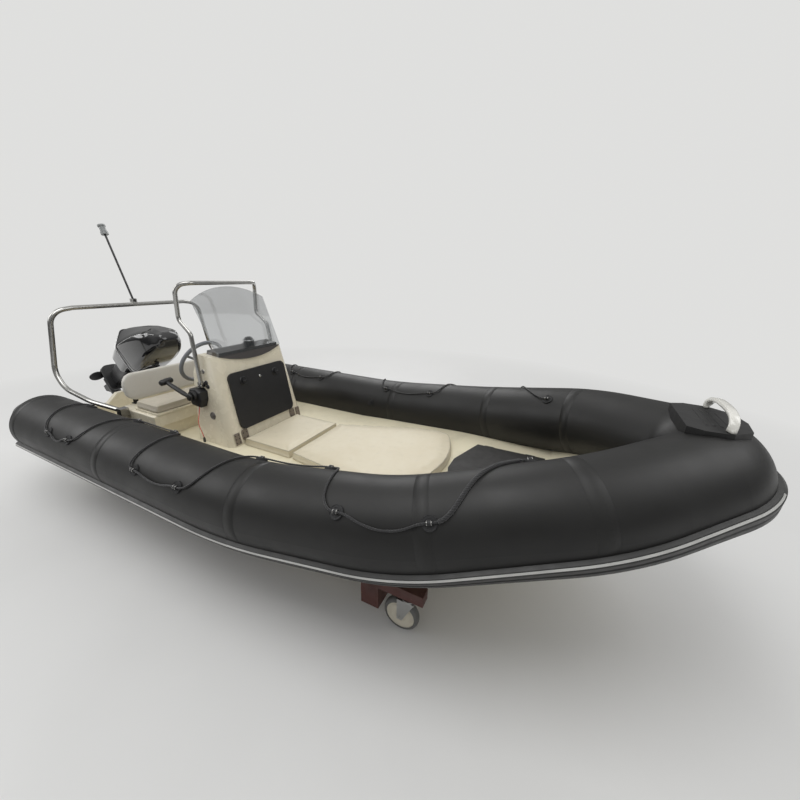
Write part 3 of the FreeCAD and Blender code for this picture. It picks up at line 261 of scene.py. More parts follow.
def polished_steel(name, base, gloss):
    """Polished stainless tube with faint rubbing marks."""
    made = Shader(name, base, gloss, Metallic=1.0)
    made.tint(made.noise(7, 3), darker(base, 0.8), 0.5, 0.8)
    made.roughness(made.noise(11, 3), gloss - 0.04, gloss + 0.07)
    made.bump(made.noise(420, 2, (1, 1, 0.1)), 0.00001, 0.15)
    return made.made


RUST = (0.2, 0.11, 0.07)


def painted(name, base, gloss, chips=RUST):
    """Painted steel with small chips and dull patches."""
    made = Shader(name, base, gloss, Coat_Weight=0.15, Coat_Roughness=0.25)
    made.tint(made.noise(8, 6), darker(base, 0.62), 0.45, 0.75)
    made.tint(made.noise(70, 6), chips, 0.7, 0.74)
    made.roughness(made.noise(20, 5), gloss - 0.1, gloss + 0.15)
    made.bump(made.noise(55, 5), 0.0004, 0.35)
    return made.made


def gloss_black(name):
    """Deep black lacquer of the outboard's cowl."""
    made = Shader(name, (0.006, 0.006, 0.007), 0.09, Coat_Weight=0.9, Coat_Roughness=0.03)
    made.tint(made.noise(4, 4), (0.012, 0.012, 0.013), 0.5, 0.8)
    made.roughness(made.noise(6, 3), 0.06, 0.13)
    return made.made


def tinted_glass(name, base=(0.30, 0.32, 0.33), clear=0.4):
    """Tinted acrylic that still shows what stands behind it."""
    made = Shader(name, base, 0.05, Transmission_Weight=0.85, IOR=1.15, Alpha=clear)
    made.tint(made.noise(3, 3), darker(base, 0.75), 0.5, 0.8)
    made.roughness(made.noise(45, 4), 0.03, 0.1)
    return made.made


def braided(name, base):
    """Cord fibre: fine yarn across the strands."""
    made = Shader(name, base, 0.74, Sheen_Weight=0.3, Sheen_Roughness=0.5)
    made.tint(made.noise(900, 3), darker(base, 2.4), 0.5, 0.75)
    made.bump(made.noise(1300, 2), 0.0004, 0.6)
    return made.made


def timber(name):
    """Weathered softwood bunk with long grain."""
    made = Shader(name, (0.30, 0.20, 0.115), 0.7)
    made.tint(made.noise(14, 6, (0.6, 9, 9)), (0.17, 0.105, 0.06), 0.42, 0.66)
    made.bump(made.noise(60, 5, (0.3, 6, 6)), 0.0012, 0.5)
    return made.made


def all_materials():
    """Every finish of the boat by a plain name."""
    shades = colours()
    return {
        "tube_fabric": coated_fabric("tube_fabric", shades.tube, 0.47),
        "seam_tape": coated_fabric("seam_tape", shades.tube, 0.47),
        "seam_line": moulded("seam_line", (0.006, 0.006, 0.0055), 0.55, 300),
        "strake_rubber": moulded("strake_rubber", (0.030, 0.030, 0.029), 0.46, 300),
        "stripe": moulded("stripe", shades.stripe, 0.34, 300, 0.0001, wear=0.8),
        "black_rubber": moulded("black_rubber", (0.014, 0.014, 0.015), 0.6, 220, 0.0004),
        "gelcoat": gelcoat("gelcoat", shades.gelcoat),
        "deck_gelcoat": non_slip("deck_gelcoat", shades.deck),
        "pad_vinyl": vinyl("pad_vinyl", shades.vinyl),
        "piping": vinyl("piping", darker(shades.vinyl, 0.6)),
        "board_vinyl": vinyl("board_vinyl", shades.board),
        "silver_trim": polished_steel("silver_trim", (0.55, 0.55, 0.55), 0.3),
        "lens_clear": tinted_glass("lens_clear", (0.75, 0.75, 0.73), 0.5),
        "hatch_black": moulded("hatch_black", (0.017, 0.016, 0.015), 0.62, 240, 0.0006),
        "door_black": moulded("door_black", (0.012, 0.012, 0.013), 0.5, 240, 0.0005),
        "black_plastic": moulded("black_plastic", (0.013, 0.013, 0.014), 0.42),
        "ivory_plastic": moulded("ivory_plastic", (0.55, 0.49, 0.39), 0.4),
        "dash_grey": moulded("dash_grey", (0.13, 0.13, 0.135), 0.45),
        "tinted_screen": tinted_glass("tinted_screen"),
        "wheel_grey": moulded("wheel_grey", (0.17, 0.18, 0.195), 0.38, 400),
        "steel": polished_steel("steel", (0.40, 0.395, 0.38), 0.2),
        "castor_steel": polished_steel("castor_steel", (0.5, 0.5, 0.49), 0.32),
        "black_metal": painted("black_metal", (0.012, 0.012, 0.012), 0.42, (0.06, 0.06, 0.06)),
        "engine_black": painted("engine_black", (0.011, 0.011, 0.012), 0.36, (0.05, 0.05, 0.055)),
        "cowl_gloss": gloss_black("cowl_gloss"),
        "dolly_red": painted("dolly_red", shades.dolly, 0.55),
        "bunk_timber": timber("bunk_timber"),
        "lever_black": moulded("lever_black", (0.0045, 0.0045, 0.0045), 0.42),
        "castor_tread": moulded("castor_tread", (0.12, 0.12, 0.115), 0.55, 260),
        "castor_hub": moulded("castor_hub", (0.6, 0.56, 0.46), 0.4, 260),
        "rope_black": braided("rope_black", (0.012, 0.012, 0.013)),
        "cord_red": braided("cord_red", shades.kill_cord),
        "dial_face": moulded("dial_face", (0.004, 0.004, 0.005), 0.3),
        "dial_mark": moulded("dial_mark", (0.8, 0.8, 0.78), 0.4),
        "screw_dark": polished_steel("screw_dark", (0.10, 0.09, 0.08), 0.4),
        "socket_grey": moulded("socket_grey", (0.12, 0.11, 0.10), 0.4),
        # pale non-metallic base colour paints in the bright reflection of the polished metal bow
        # handle
        "handle_painted_shine": moulded("handle_painted_shine", (0.72, 0.71, 0.66), 0.16, coat=0.5),
        "pad_rubber": moulded("pad_rubber", (0.010, 0.010, 0.010), 0.55, 260, 0.0003),
        "lamp_pale": moulded("lamp_pale", (0.22, 0.23, 0.23), 0.3),
        "hinge_tan": moulded("hinge_tan", (0.20, 0.165, 0.13), 0.45),
        "cushion_vinyl": vinyl("cushion_vinyl", (0.44, 0.40, 0.32)),
        "smoked": moulded("smoked", (0.035, 0.030, 0.027), 0.14, coat=0.6),
        "lock_steel": polished_steel("lock_steel", (0.62, 0.62, 0.6), 0.18),
        "switch_red": moulded("switch_red", (0.5, 0.01, 0.01), 0.35),
    }


def finish_of(name):
    return bpy.data.materials[FINISH_PREFIX + name]


# Geometry helpers

def new_piece(name, mesh, body, material):
    """Link a mesh as a piece that rides on a body."""
    piece = bpy.data.objects.new(name, mesh)
    bpy.context.scene.collection.objects.link(piece)
    mesh.materials.clear()
    mesh.materials.append(finish_of(material))
    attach(piece, body)
    return piece


def mesh_from(bm, name, smooth=True):
    bmesh.ops.remove_doubles(bm, verts=bm.verts, dist=1e-6)
    bmesh.ops.recalc_face_normals(bm, faces=bm.faces)
    mesh = bpy.data.meshes.new(name)
    bm.to_mesh(mesh)
    bm.free()
    for polygon in mesh.polygons:
        polygon.use_smooth = smooth
    return mesh


def merged_copy(node):
    """A CAD node's mesh with its loose triangles joined."""
    bm = bmesh.new()
    bm.from_mesh(NODES[node].data)
    bmesh.ops.remove_doubles(bm, verts=bm.verts, dist=1e-5)
    return bm


def side_directions(along, across):
    across = (across - along * across.dot(along)).normalized()
    return across, along.cross(across)


def sweep(bm, points, radius, sides, closed=False):
    """A tube along points, its sides carried along without a twist."""
    rings = []
    across = UP.copy()
    count = len(points)
    for index, point in enumerate(points):
        before = points[index - 1] if index or closed else points[0]
        after = points[(index + 1) % count] if index + 1 < count or closed else points[-1]
        along = (after - before).normalized()
        across, upward = side_directions(along, across)
        rings.append([bm.verts.new(point + across * (radius * math.cos(turn)) + upward *
                                   (radius * math.sin(turn)))
                      for turn in (2 * math.pi * side / sides for side in range(sides))])
    pairs = list(zip(rings, rings[1:])) + ([(rings[-1], rings[0])] if closed else [])
    for ring, following in pairs:
        for side in range(sides):
            bm.faces.new((ring[side], ring[(side + 1) % sides],
                          following[(side + 1) % sides], following[side]))
    if not closed:
        bm.faces.new(rings[0])
        bm.faces.new(rings[-1])


ON_AXIS = 1e-7  # a smaller radius than this is a point on the axis


def lathe(bm, profile, middle, axis, steps):
    """Turn a profile of (radius, height) about an axis through middle."""
    turn = UP.rotation_difference(axis).to_matrix()
    rings = []
    for radius, height in profile:
        if radius < ON_AXIS:
            rings.append([bm.verts.new(middle + turn @ Vector((0, 0, height)))] * steps)
            continue
        rings.append([bm.verts.new(middle + turn @ Vector((
            radius * math.cos(2 * math.pi * step / steps),
            radius * math.sin(2 * math.pi * step / steps), height))) for step in range(steps)])
    for ring, following in zip(rings, rings[1:]):
        for step in range(steps):
            corners = (ring[step], ring[(step + 1) % steps],
                       following[(step + 1) % steps], following[step])
            unique = list(dict.fromkeys(corners))
            if len(unique) > 2:
                bm.faces.new(unique)


def on_places(name, places, body, material, slot, shape, **measures):
    """A small shape on each (point, outward direction), placed and made real by a node tree."""
    tree = bpy.data.node_groups.new(name + "_tree", "GeometryNodeTree")
    tree.interface.new_socket("Geometry", in_out="INPUT", socket_type="NodeSocketGeometry")
    sockets = {label: tree.interface.new_socket(label, in_out="INPUT",
                                                socket_type="NodeSocketFloat")
               for label in measures}
    tree.interface.new_socket("Geometry", in_out="OUTPUT", socket_type="NodeSocketGeometry")
    nodes, links = tree.nodes, tree.links
    entry, leave = nodes.new("NodeGroupInput"), nodes.new("NodeGroupOutput")
    facing = nodes.new("GeometryNodeInputNamedAttribute")
    facing.data_type = "FLOAT_VECTOR"
    facing.inputs["Name"].default_value = "facing"
    align = nodes.new("FunctionNodeAlignEulerToVector")
    align.axis = "Z"
    place = nodes.new("GeometryNodeInstanceOnPoints")
    real = nodes.new("GeometryNodeRealizeInstances")
    paint = nodes.new("GeometryNodeSetMaterial")
    paint.inputs["Material"].default_value = finish_of(material)
    links.new(entry.outputs["Geometry"], place.inputs["Points"])
    links.new(shape(tree, entry), place.inputs["Instance"])
    links.new(facing.outputs["Attribute"], align.inputs["Vector"])
    links.new(align.outputs["Rotation"], place.inputs["Rotation"])
    links.new(place.outputs["Instances"], real.inputs["Geometry"])
    links.new(real.outputs["Geometry"], paint.inputs["Geometry"])
    links.new(paint.outputs["Geometry"], leave.inputs["Geometry"])
    points = bpy.data.meshes.new(name + "_points")
    points.from_pydata([tuple(point) for point, direction in places], [], [])
    attribute = points.attributes.new("facing", "FLOAT_VECTOR", "POINT")
    for index, (point, direction) in enumerate(places):
        attribute.data[index].vector = direction
    carrier = bpy.data.objects.new(name + "_carrier", points)
    bpy.context.scene.collection.objects.link(carrier)
    modifier = carrier.modifiers.new("placed", "NODES")
    modifier.node_group = tree
    for label, value in measures.items():
        modifier[sockets[label].identifier] = value
    return realised(carrier, name, body, material)


def domed_head(tree, entry):
    """A flattened dome."""
    dome = tree.nodes.new("GeometryNodeMeshUVSphere")
    dome.inputs["Segments"].default_value = 12
    dome.inputs["Rings"].default_value = 6
    flatten = tree.nodes.new("GeometryNodeTransform")
    flatten.inputs["Scale"].default_value = (1, 1, 0.42)
    tree.links.new(entry.outputs["Head radius"], dome.inputs["Radius"])
    tree.links.new(dome.outputs["Mesh"], flatten.inputs["Geometry"])
    return flatten.outputs["Geometry"]


def wire_ring(tree, entry):
    """A ring of round wire."""
    ring = tree.nodes.new("GeometryNodeCurvePrimitiveCircle")
    ring.inputs["Resolution"].default_value = 28
    wire = tree.nodes.new("GeometryNodeCurvePrimitiveCircle")
    wire.inputs["Resolution"].default_value = 8
    tube = tree.nodes.new("GeometryNodeCurveToMesh")
    tree.links.new(entry.outputs["Ring radius"], ring.inputs["Radius"])
    tree.links.new(entry.outputs["Wire radius"], wire.inputs["Radius"])
    tree.links.new(ring.outputs["Curve"], tube.inputs["Curve"])
    tree.links.new(wire.outputs["Curve"], tube.inputs["Profile Curve"])
    return tube.outputs["Mesh"]


def on_screws(name, places, body, material="castor_steel", slot="steel", radius=None):
    """Pan-head screws on a list of (point, outward direction)."""
    return on_places(name, places, body, material, slot, domed_head,
                     **{"Head radius": radius or sizes().screw})


def on_rings(name, places, body, material, slot, ring, wire):
    """Rings of wire, each square to its direction."""
    return on_places(name, places, body, material, slot, wire_ring,
                     **{"Ring radius": ring, "Wire radius": wire})


def realised(carrier, name, body, material):
    """Turn a node tree's result into a plain mesh piece and drop its carrier."""
    bpy.context.view_layer.update()
    evaluated = carrier.evaluated_get(bpy.context.evaluated_depsgraph_get())
    mesh = bpy.data.meshes.new_from_object(evaluated)
    mesh.name = name
    bpy.data.objects.remove(carrier)
    for polygon in mesh.polygons:
        polygon.use_smooth = True
    return new_piece(name, mesh, body, material)


# The collar's middle line, as the part's source has it: x from the transom, half breadth,
# height and bend radius at each corner, in metres
CORNERS = (
    (0, 0.800, 0.562, 0), (2.120, 0.800, 0.562, 3.2), (2.929, 0.722, 0.663, 1.5),
    (3.640, 0.470, 0.835, 0.9), (4.048, 0.116, 0.900, 0.236),
)
TUBE_RADIUS = 0.206


def runs_through(corners):
    """Straight runs and arcs through corners of (place, bend radius)."""
    runs = []
    start = corners[0][0]
    for (before, skip), (corner, bend), (after, rest) in zip(corners, corners[1:], corners[2:]):
        back, ahead = (before - corner).normalized(), (after - corner).normalized()
        half_turn = (math.pi - back.angle(ahead)) / 2
        reach = bend * math.tan(half_turn)
        enter = corner + back * reach
        middle = corner + (back + ahead).normalized() * (bend / math.cos(half_turn))
        runs.append((start, -back, None, 0, (enter - start).length))
        runs.append((enter, -back, middle, bend, 2 * half_turn * bend))
        start = corner + ahead * reach
    return runs


def along_runs(runs, distance):
    """The point at a distance along the runs, and the way on from it."""
    for start, along, middle, bend, reach in runs:
        if distance <= reach:
            break
        distance -= reach
    if middle is None:
        return start + along * distance, along
    turn = distance / bend
    arm = start - middle
    return (middle + arm * math.cos(turn) + along * (bend * math.sin(turn)),
            along * math.cos(turn) - arm * (math.sin(turn) / bend))


def mirrored_end(places):
    """The places with the last one's other side added, so that a bend can close the nose."""
    x, y, z = places[-1]
    return places + [Vector((x, -y, z))]


COLLAR_PLACES = [Vector((TRANSOM + x, -y, z)) for x, y, z, bend in CORNERS]
COLLAR_BENDS = [bend for x, y, z, bend in CORNERS] + [0]
COLLAR_RUNS = runs_through(list(zip(mirrored_end(COLLAR_PLACES), COLLAR_BENDS)))
# distance along the tube from the stern to the middle of its last bend, short of the nose
LAST_BEND = sum(run[4] for run in COLLAR_RUNS) - COLLAR_RUNS[-1][4] / 2


def collar_at(distance):
    """Middle of the starboard tube, the way along it, its outer side and its top."""
    at, way = along_runs(COLLAR_RUNS, distance)
    out = way.cross(UP).normalized()
    return at, way, out, out.cross(way)


def on_collar(distance, angle, lift, side=-1):
    """A point over the tube's skin: angle up from its outer side; side is -1 for starboard."""
    at, way, out, over = collar_at(distance)
    turn = math.radians(angle)
    point = at + (out * math.cos(turn) + over * math.sin(turn)) * (TUBE_RADIUS + lift)
    return Vector((point.x, -side * point.y, point.z))


def flipped(points):
    return [Vector((point.x, -point.y, point.z)) for point in points]


# Operators, one for each piece or group of like pieces

# Parts whose finish differs from that of their slot
OWN_FINISH = {"mast_lamp": "lamp_pale", "dash": "smoked", "engine_pan": "cowl_gloss",
              "door_hinges": "hinge_tan"}


class BOAT_OT_finishes(Operator):
    """Make every finish and give each carried-over part its own"""
    bl_idname = "boat.finishes"
    bl_label = "Finishes"

    def execute(self, context):
        made = all_materials()
        for part in frame["record"]["subparts"]:
            node = NODES[part["node"]]
            node.data.materials.clear()
            node.data.materials.append(made[OWN_FINISH.get(part["node"], part["material_slot"])])
        return {"FINISHED"}


# Distance along the tube of each taped seam, from the stern
SEAMS = (0.045, 1.11, 2.20, 3.06, 3.64)
# distance along and lift across the fine line at a tape's edge
SEAM_LINE = ((-0.0008, -0.0002), (-0.0004, 0.0005), (0.0004, 0.0005), (0.0008, -0.0002))
STEPS_ROUND_TUBE = 96


class BOAT_OT_collar_seams(Operator):
    """Taped fabric seams round the collar, each with a fine line along its edges"""
    bl_idname = "boat.collar_seams"
    bl_label = "Collar Seams"

    def execute(self, context):
        half, rise = sizes().seam_width / 2, sizes().seam_rise
        tape = ((-half, 0.0), (-half + rise, rise), (half - rise, rise), (half, 0.0))
        tapes, lines = bmesh.new(), bmesh.new()
        for side in (-1, 1):
            for seam in SEAMS:
                self.ring(tapes, seam, side, tape)
                for edge in (-half, half):
                    self.ring(lines, seam + edge, side, SEAM_LINE)
        for name, bm, finish in (("collar_seams", tapes, "seam_tape"),
                                 ("seam_lines", lines, "seam_line")):
            new_piece(name, mesh_from(bm, name), "boat", finish)
        return {"FINISHED"}

    def ring(self, bm, seam, side, across):
        """A thin band round the tube; its profile is distance along and lift."""
        steps = STEPS_ROUND_TUBE
        rings = [[bm.verts.new(on_collar(seam + ahead, 360 * step / steps, lift, side))
                  for step in range(steps)] for ahead, lift in across]
        for ring, following in zip(rings, rings[1:]):
            for step in range(steps):
                bm.faces.new((ring[step], ring[(step + 1) % steps],
                              following[(step + 1) % steps], following[step]))


# How the strake turns up the tube: angle below its outer side and bend radius of the line
# that turns it, at each of the collar's corners
STRAKE_TURN = ((-36, 0), (-36, 3.6), (-34, 1.9), (-16, 1.3), (0, 0.5))
GUIDE_REACH = 0.4
# the stripe across the strake's upper slope: depth from the tube's skin and height on the strake
STRIPE = ((0.0137, 0.0431), (0.0149, 0.0436), (0.0209, 0.0382), (0.0205, 0.0369))
STRIPE_START, STRIPE_STEPS, GUIDE_STEPS = 0.003, 240, 2000


class BOAT_OT_strake_stripe(Operator):
    """Bright stripe along the rubbing strake's upper slope"""
    bl_idname = "boat.strake_stripe"
    bl_label = "Strake Stripe"

    def execute(self, context):
        guide = self.guide()
        rings = []
        reached = 0
        bm = bmesh.new()
        for step in range(STRIPE_STEPS + 1):
            at, way, out, over = collar_at(
                STRIPE_START + (LAST_BEND - STRIPE_START) * step / STRIPE_STEPS)
            while reached < len(guide) - 2 and (guide[reached + 1] - at).dot(way) < 0:
                reached += 1
            low, high = ((guide[reached + ahead] - at).dot(way) for ahead in (0, 1))
            share = -low / (high - low) if high > low else 0
            arm = guide[reached].lerp(guide[reached + 1], share) - at
            arm = (arm - way * arm.dot(way)).normalized()
            upward = arm.cross(way)
            rings.append([at + arm * (TUBE_RADIUS + depth) + upward * height
                          for depth, height in STRIPE])
        rings += [flipped(ring) for ring in reversed(rings[:-1])]
        rows = [[bm.verts.new(point) for point in ring] for ring in rings]
        for row, following in zip(rows, rows[1:]):
            for a, b, c, d in zip(row, row[1:], following[1:], following):
                bm.faces.new((a, b, c, d))
        new_piece("strake_stripe", mesh_from(bm, "strake_stripe", smooth=False), "boat", "stripe")
        return {"FINISHED"}

    def guide(self):
        """Points on the line outside the collar that the strake turns towards."""
        places = [COLLAR_PLACES[0] * 2 - COLLAR_PLACES[1]] + mirrored_end(COLLAR_PLACES)
        guide = []
        turns = [angle for angle, bend in STRAKE_TURN]
        for before, corner, after, angle in zip(places, places[1:], places[2:], turns):
            along = ((after - corner).normalized() + (corner - before).normalized()).normalized()
            out = along.cross(UP).normalized()
            turn = math.radians(angle)
            guide.append(corner + out * (GUIDE_REACH * math.cos(turn)) +
                         out.cross(along) * (GUIDE_REACH * math.sin(turn)))
        bends = [bend for angle, bend in STRAKE_TURN] + [0]
        runs = runs_through(list(zip(mirrored_end(guide), bends)))
        reach = sum(run[4] for run in runs)
        return [along_runs(runs, reach * step / GUIDE_STEPS)[0]
                for step in range(GUIDE_STEPS + 1)]


# The grab line's route, repeated from the part's source: distance along the tube, angle up
# from its outer side, and lift over its skin in millimetres
GRAB_LINE = (
    (500, 118, 11), (464, 118, 11), (440, 108, 8.5), (432, 93, 8), (438, 76, 8), (454, 60, 7.5),
    (480, 46, 7.5), (526, 33, 11), (594, 33, 11), (636, 27, 7), (680, 24, 6), (724, 26, 7),
    (766, 33, 11), (834, 33, 11), (874, 40, 8), (906, 53, 7.5), (932, 69, 8), (955, 86, 8),
    (980, 103, 8.5), (1016, 120, 11), (1084, 120, 11), (1150, 126, 7), (1225, 129, 6),
    (1300, 128, 7), (1366, 123, 11), (1434, 123, 11), (1466, 114, 8.5), (1482, 99, 8),
    (1483, 82, 8), (1474, 66, 7.5),
    (1460, 52, 7.5), (1452, 40, 8), (1466, 31, 11), (1534, 31, 11), (1600, 27, 7), (1675, 25, 6),
    (1750, 27, 7), (1816, 32, 11), (1884, 32, 11), (1924, 39, 8), (1958, 51, 7.5), (1988, 66, 7.5),
    (2014, 82, 7.5), (2036, 98, 7.5), (2056, 113, 8.5), (2086, 124, 11), (2154, 124, 11),
    (2235, 130, 7), (2335, 133, 6), (2435, 131, 7), (2516, 127, 11), (2584, 127, 11),
    (2616, 118, 8.5), (2633, 103, 7.5), (2644, 87, 7.5), (2652, 71, 7.5), (2668, 56, 8.5),
    (2706, 45, 11), (2774, 45, 11),
    (2840, 37, 7), (2915, 32, 6), (2990, 33, 7), (3056, 40, 11), (3124, 40, 11), (3166, 47, 8),
    (3206, 60, 7.5), (3246, 75, 7.5), (3290, 90, 7.5), (3342, 105, 7.5), (3400, 118, 8),
    (3464, 128, 11), (3500, 128, 11),
)
GRAB_LINE_STEP = 0.004
# where the wound end starts and stops: distance along the tube, angle and lift
SPLICE_ENDS = ((3.120, 45, 0.011), (3.465, 126, 0.011))
# distance along the tube and angle of each eyelet
EYELETS = ((500, 118), (560, 33), (800, 33), (1050, 120), (1400, 123), (1500, 31), (1850, 32),
           (2120, 124), (2550, 127), (2740, 45), (3090, 40), (3500, 128))

# The kill cord's route from the throttle box, in millimetres from the transom
KILL_CORD = ((1184, -372, 764.6), (1185, -378, 736), (1189, -392, 700), (1187, -404, 655),
             (1193, -403, 610), (1199, -396, 570), (1200, -392, 536))
KILL_CORD_LENGTH, KILL_CORD_DIAMETER = 0.235, 0.005
KILL_CORD_LAY, KILL_CORD_STEP = 0.012, 0.0015
# a strand's radius as a share of the laid rope's diameter
STRAND_SHARE = 0.27


def smooth_route(name, points):
    """The points of a smooth line whose control points are given."""
    curve = bpy.data.curves.new(name + "_route", "CURVE")
    curve.dimensions = "3D"
    curve.resolution_u = 10
    spline = curve.splines.new("NURBS")
    spline.points.add(len(points) - 1)
    for control, point in zip(spline.points, points):
        control.co = (*point, 1)
    spline.order_u = 3
    spline.use_endpoint_u = True
    holder = bpy.data.objects.new(name + "_route", curve)
    mesh = bpy.data.meshes.new_from_object(holder)
    route = [vertex.co.copy() for vertex in mesh.vertices]
    bpy.data.objects.remove(holder)
    return route


def even_points(route, step):
    """The same line with points at even steps."""
    marks = [0.0]
    for start, end in zip(route, route[1:]):
        marks.append(marks[-1] + (end - start).length)
    count = max(2, round(marks[-1] / step))
    points = []
    index = 0
    for number in range(count + 1):
        target = marks[-1] * number / count
        while index < len(marks) - 2 and marks[index + 1] < target:
            index += 1
        share = (target - marks[index]) / max(1e-9, marks[index + 1] - marks[index])
        points.append(route[index].lerp(route[index + 1], min(1, max(0, share))))
    return points


def laid_rope(name, points, diameter, lay, strands=3, sides=6):
    """Twisted strands along points."""
    bm = bmesh.new()
    strand_radius = diameter * STRAND_SHARE
    orbit = diameter / 2 - strand_radius
    frames = []
    across = UP.copy()
    distance = 0.0
    for index, point in enumerate(points):
        before, after = points[max(0, index - 1)], points[min(len(points) - 1, index + 1)]
        along = (after - before).normalized()
        across, upward = side_directions(along, across)
        if index:
            distance += (point - points[index - 1]).length
        frames.append((point, across.copy(), upward, distance))
    for strand in range(strands):
        start = 2 * math.pi * strand / strands
        line = []
        for point, side, upward, along_by in frames:
            turn = start + 2 * math.pi * along_by / lay
            line.append(point + side * (orbit * math.cos(turn)) +
                        upward * (orbit * math.sin(turn)))
        sweep(bm, line, strand_radius, sides)
    return mesh_from(bm, name)


class BOAT_OT_grab_lines(Operator):
    """Laid grab lines through the eyelets on both tubes"""
    bl_idname = "boat.grab_lines"
    bl_label = "Grab Lines"

    def execute(self, context):
        diameter = sizes().rope
        for name, side in (("starboard", -1), ("port", 1)):
            controls = [on_collar(along / 1000, angle, lift / 1000, side)
                        for along, angle, lift in GRAB_LINE]
            route = even_points(smooth_route("grab_line_" + name, controls), GRAB_LINE_STEP)
            mesh = laid_rope("rope_" + name, route, diameter, sizes().rope_lay)
            rope = new_piece("rope_" + name, mesh, "boat", "rope_black")
            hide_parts("grab_line_" + name)
            if side < 0:
                self.splice(route)
        return {"FINISHED"}

    def splice(self, route):
        """The line's doubled end, wound thicker on its last run to the bow."""
        first, last = (min(range(len(route)), key=lambda index: (route[index] - near).length)
                       for near in (on_collar(*end) for end in SPLICE_ENDS))
        mesh = laid_rope("rope_splice", route[first:last], sizes().splice, sizes().rope_lay,
                         sides=8)
        new_piece("rope_splice", mesh, "boat", "rope_black")


class BOAT_OT_kill_cord(Operator):
    """Red laid safety cord from the throttle box"""
    bl_idname = "boat.kill_cord"
    bl_label = "Kill Cord"

    def execute(self, context):
        controls = [Vector((TRANSOM + x / 1000, y / 1000, z / 1000)) for x, y, z in KILL_CORD]
        route = even_points(smooth_route("kill_cord", controls), KILL_CORD_STEP)
        mesh = laid_rope("safety_cord", route, KILL_CORD_DIAMETER, KILL_CORD_LAY)
        cord = new_piece("safety_cord", mesh, "boat", "cord_red")
        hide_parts("kill_cord")
        return {"FINISHED"}


# Cushions and pads

# how far a face's normal points up or down where it counts as a top or as resting
TOP_FACING, RESTING_FACING = 0.9, -0.4
CLOTH_PRESSURE, CLOTH_FRAMES, CLOTH_QUALITY = 4, 20, 4
PIPING_STEP = 0.008


def top_outline(node):
    """The ordered rim of a pad's upper face."""
    bm = merged_copy(node)
    tops = {face for face in bm.faces if face.normal.z > TOP_FACING}
    rim = [edge for edge in bm.edges if sum(face in tops for face in edge.link_faces) == 1]
    links = {}
    for edge in rim:
        first, second = edge.verts
        links.setdefault(first, []).append(second)
        links.setdefault(second, []).append(first)
    start = rim[0].verts[0]
    loop = [start]
    previous, current = None, start
    while True:
        following = next(vertex for vertex in links[current] if vertex is not previous)
        if following is start:
            break
        loop.append(following)
        previous, current = current, following
    points = [vertex.co.copy() for vertex in loop]
    bm.free()
    return points


def puffed(name, node, swell, voxel, shrink):
    """A CAD pad blown up by a cloth simulation; its underside stays where it rests."""
    bm = merged_copy(node)
    for vertex in bm.verts:
        vertex.co -= vertex.normal * shrink
    start = bpy.data.meshes.new(name + "_start")
    bm.to_mesh(start)
    bm.free()
    carrier = bpy.data.objects.new(name + "_carrier", start)
    bpy.context.scene.collection.objects.link(carrier)
    remesh = carrier.modifiers.new("even", "REMESH")
    remesh.mode = "VOXEL"
    remesh.voxel_size = voxel
    bpy.context.view_layer.update()
    even = bpy.data.meshes.new_from_object(
        carrier.evaluated_get(bpy.context.evaluated_depsgraph_get()))
    carrier.modifiers.clear()
    carrier.data = even
    rest = [vertex.co.copy() for vertex in even.vertices]
    held = carrier.vertex_groups.new(name="held")
    resting = [vertex.index for vertex in even.vertices if vertex.normal.z < RESTING_FACING]
    held.add(resting, 1.0, "REPLACE")
    cloth = carrier.modifiers.new("cover", "CLOTH")
    cloth.settings.use_pressure = True
    cloth.settings.uniform_pressure_force = CLOTH_PRESSURE
    cloth.settings.effector_weights.gravity = 0
    cloth.settings.vertex_group_mass = "held"
    cloth.settings.quality = CLOTH_QUALITY
    cloth.collision_settings.use_collision = False
    scene = bpy.context.scene
    for step in range(1, CLOTH_FRAMES + 1):
        scene.frame_set(step)
    swollen = bpy.data.meshes.new_from_object(
        carrier.evaluated_get(bpy.context.evaluated_depsgraph_get()))
    carrier.modifiers.clear()
    carrier.data = swollen
    scene.frame_set(1)
    for vertex, place in zip(swollen.vertices, rest):
        shift = vertex.co - place
        if shift.length > swell:
            vertex.co = place + shift.normalized() * swell
    mesh = carrier.data
    bpy.data.objects.remove(carrier)
    bm = bmesh.new()
    bm.from_mesh(mesh)
    for turn in range(2):
        bmesh.ops.smooth_vert(bm, verts=bm.verts, factor=0.5, use_axis_x=True, use_axis_y=True,
                              use_axis_z=True)
    return mesh_from(bm, name)


def seam_on(mesh, points, inset, radius, name):
    """Piping laid on a pad along its rim, moved in by an inset."""
    tree = BVHTree.FromPolygons([vertex.co for vertex in mesh.vertices],
                                [tuple(polygon.vertices) for polygon in mesh.polygons])
    middle = sum(points, Vector()) / len(points)
    line = []
    for point in even_points(points + points[:1], PIPING_STEP)[:-1]:
        inward = (middle - point).normalized()
        ground, normal = tree.find_nearest(point + inward * inset)[:2]
        line.append(ground - normal * (radius * 0.3))
    bm = bmesh.new()
    sweep(bm, line, radius, 8, closed=True)
    return mesh_from(bm, name)


CUSHION_SHRINK, PIPING_INSET = 0.003, 0.004
BACKREST_SWELL, BACKREST_SHRINK = 0.003, 0.002


def cushion(name, node, body, cover="pad_vinyl"):
    """A padded piece with its piping, in the place of a CAD block."""
    mesh = puffed(name, node, sizes().pad_swell, sizes().cushion_voxel, CUSHION_SHRINK)
    piece = new_piece(name, mesh, body, cover)
    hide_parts(node)
    rim = top_outline(node)
    if rim:
        seam = seam_on(mesh, rim, PIPING_INSET, sizes().piping, name + "_piping")
        new_piece(name + "_piping", seam, body, "piping")


class BOAT_OT_deck_pads(Operator):
    """Foam deck pads in front of the console"""
    bl_idname = "boat.deck_pads"
    bl_label = "Deck Pads"

    def execute(self, context):
        cushion("pad_aft", "deck_pad_aft", "boat")
        cushion("pad_bow", "deck_pad_bow", "boat")
        return {"FINISHED"}


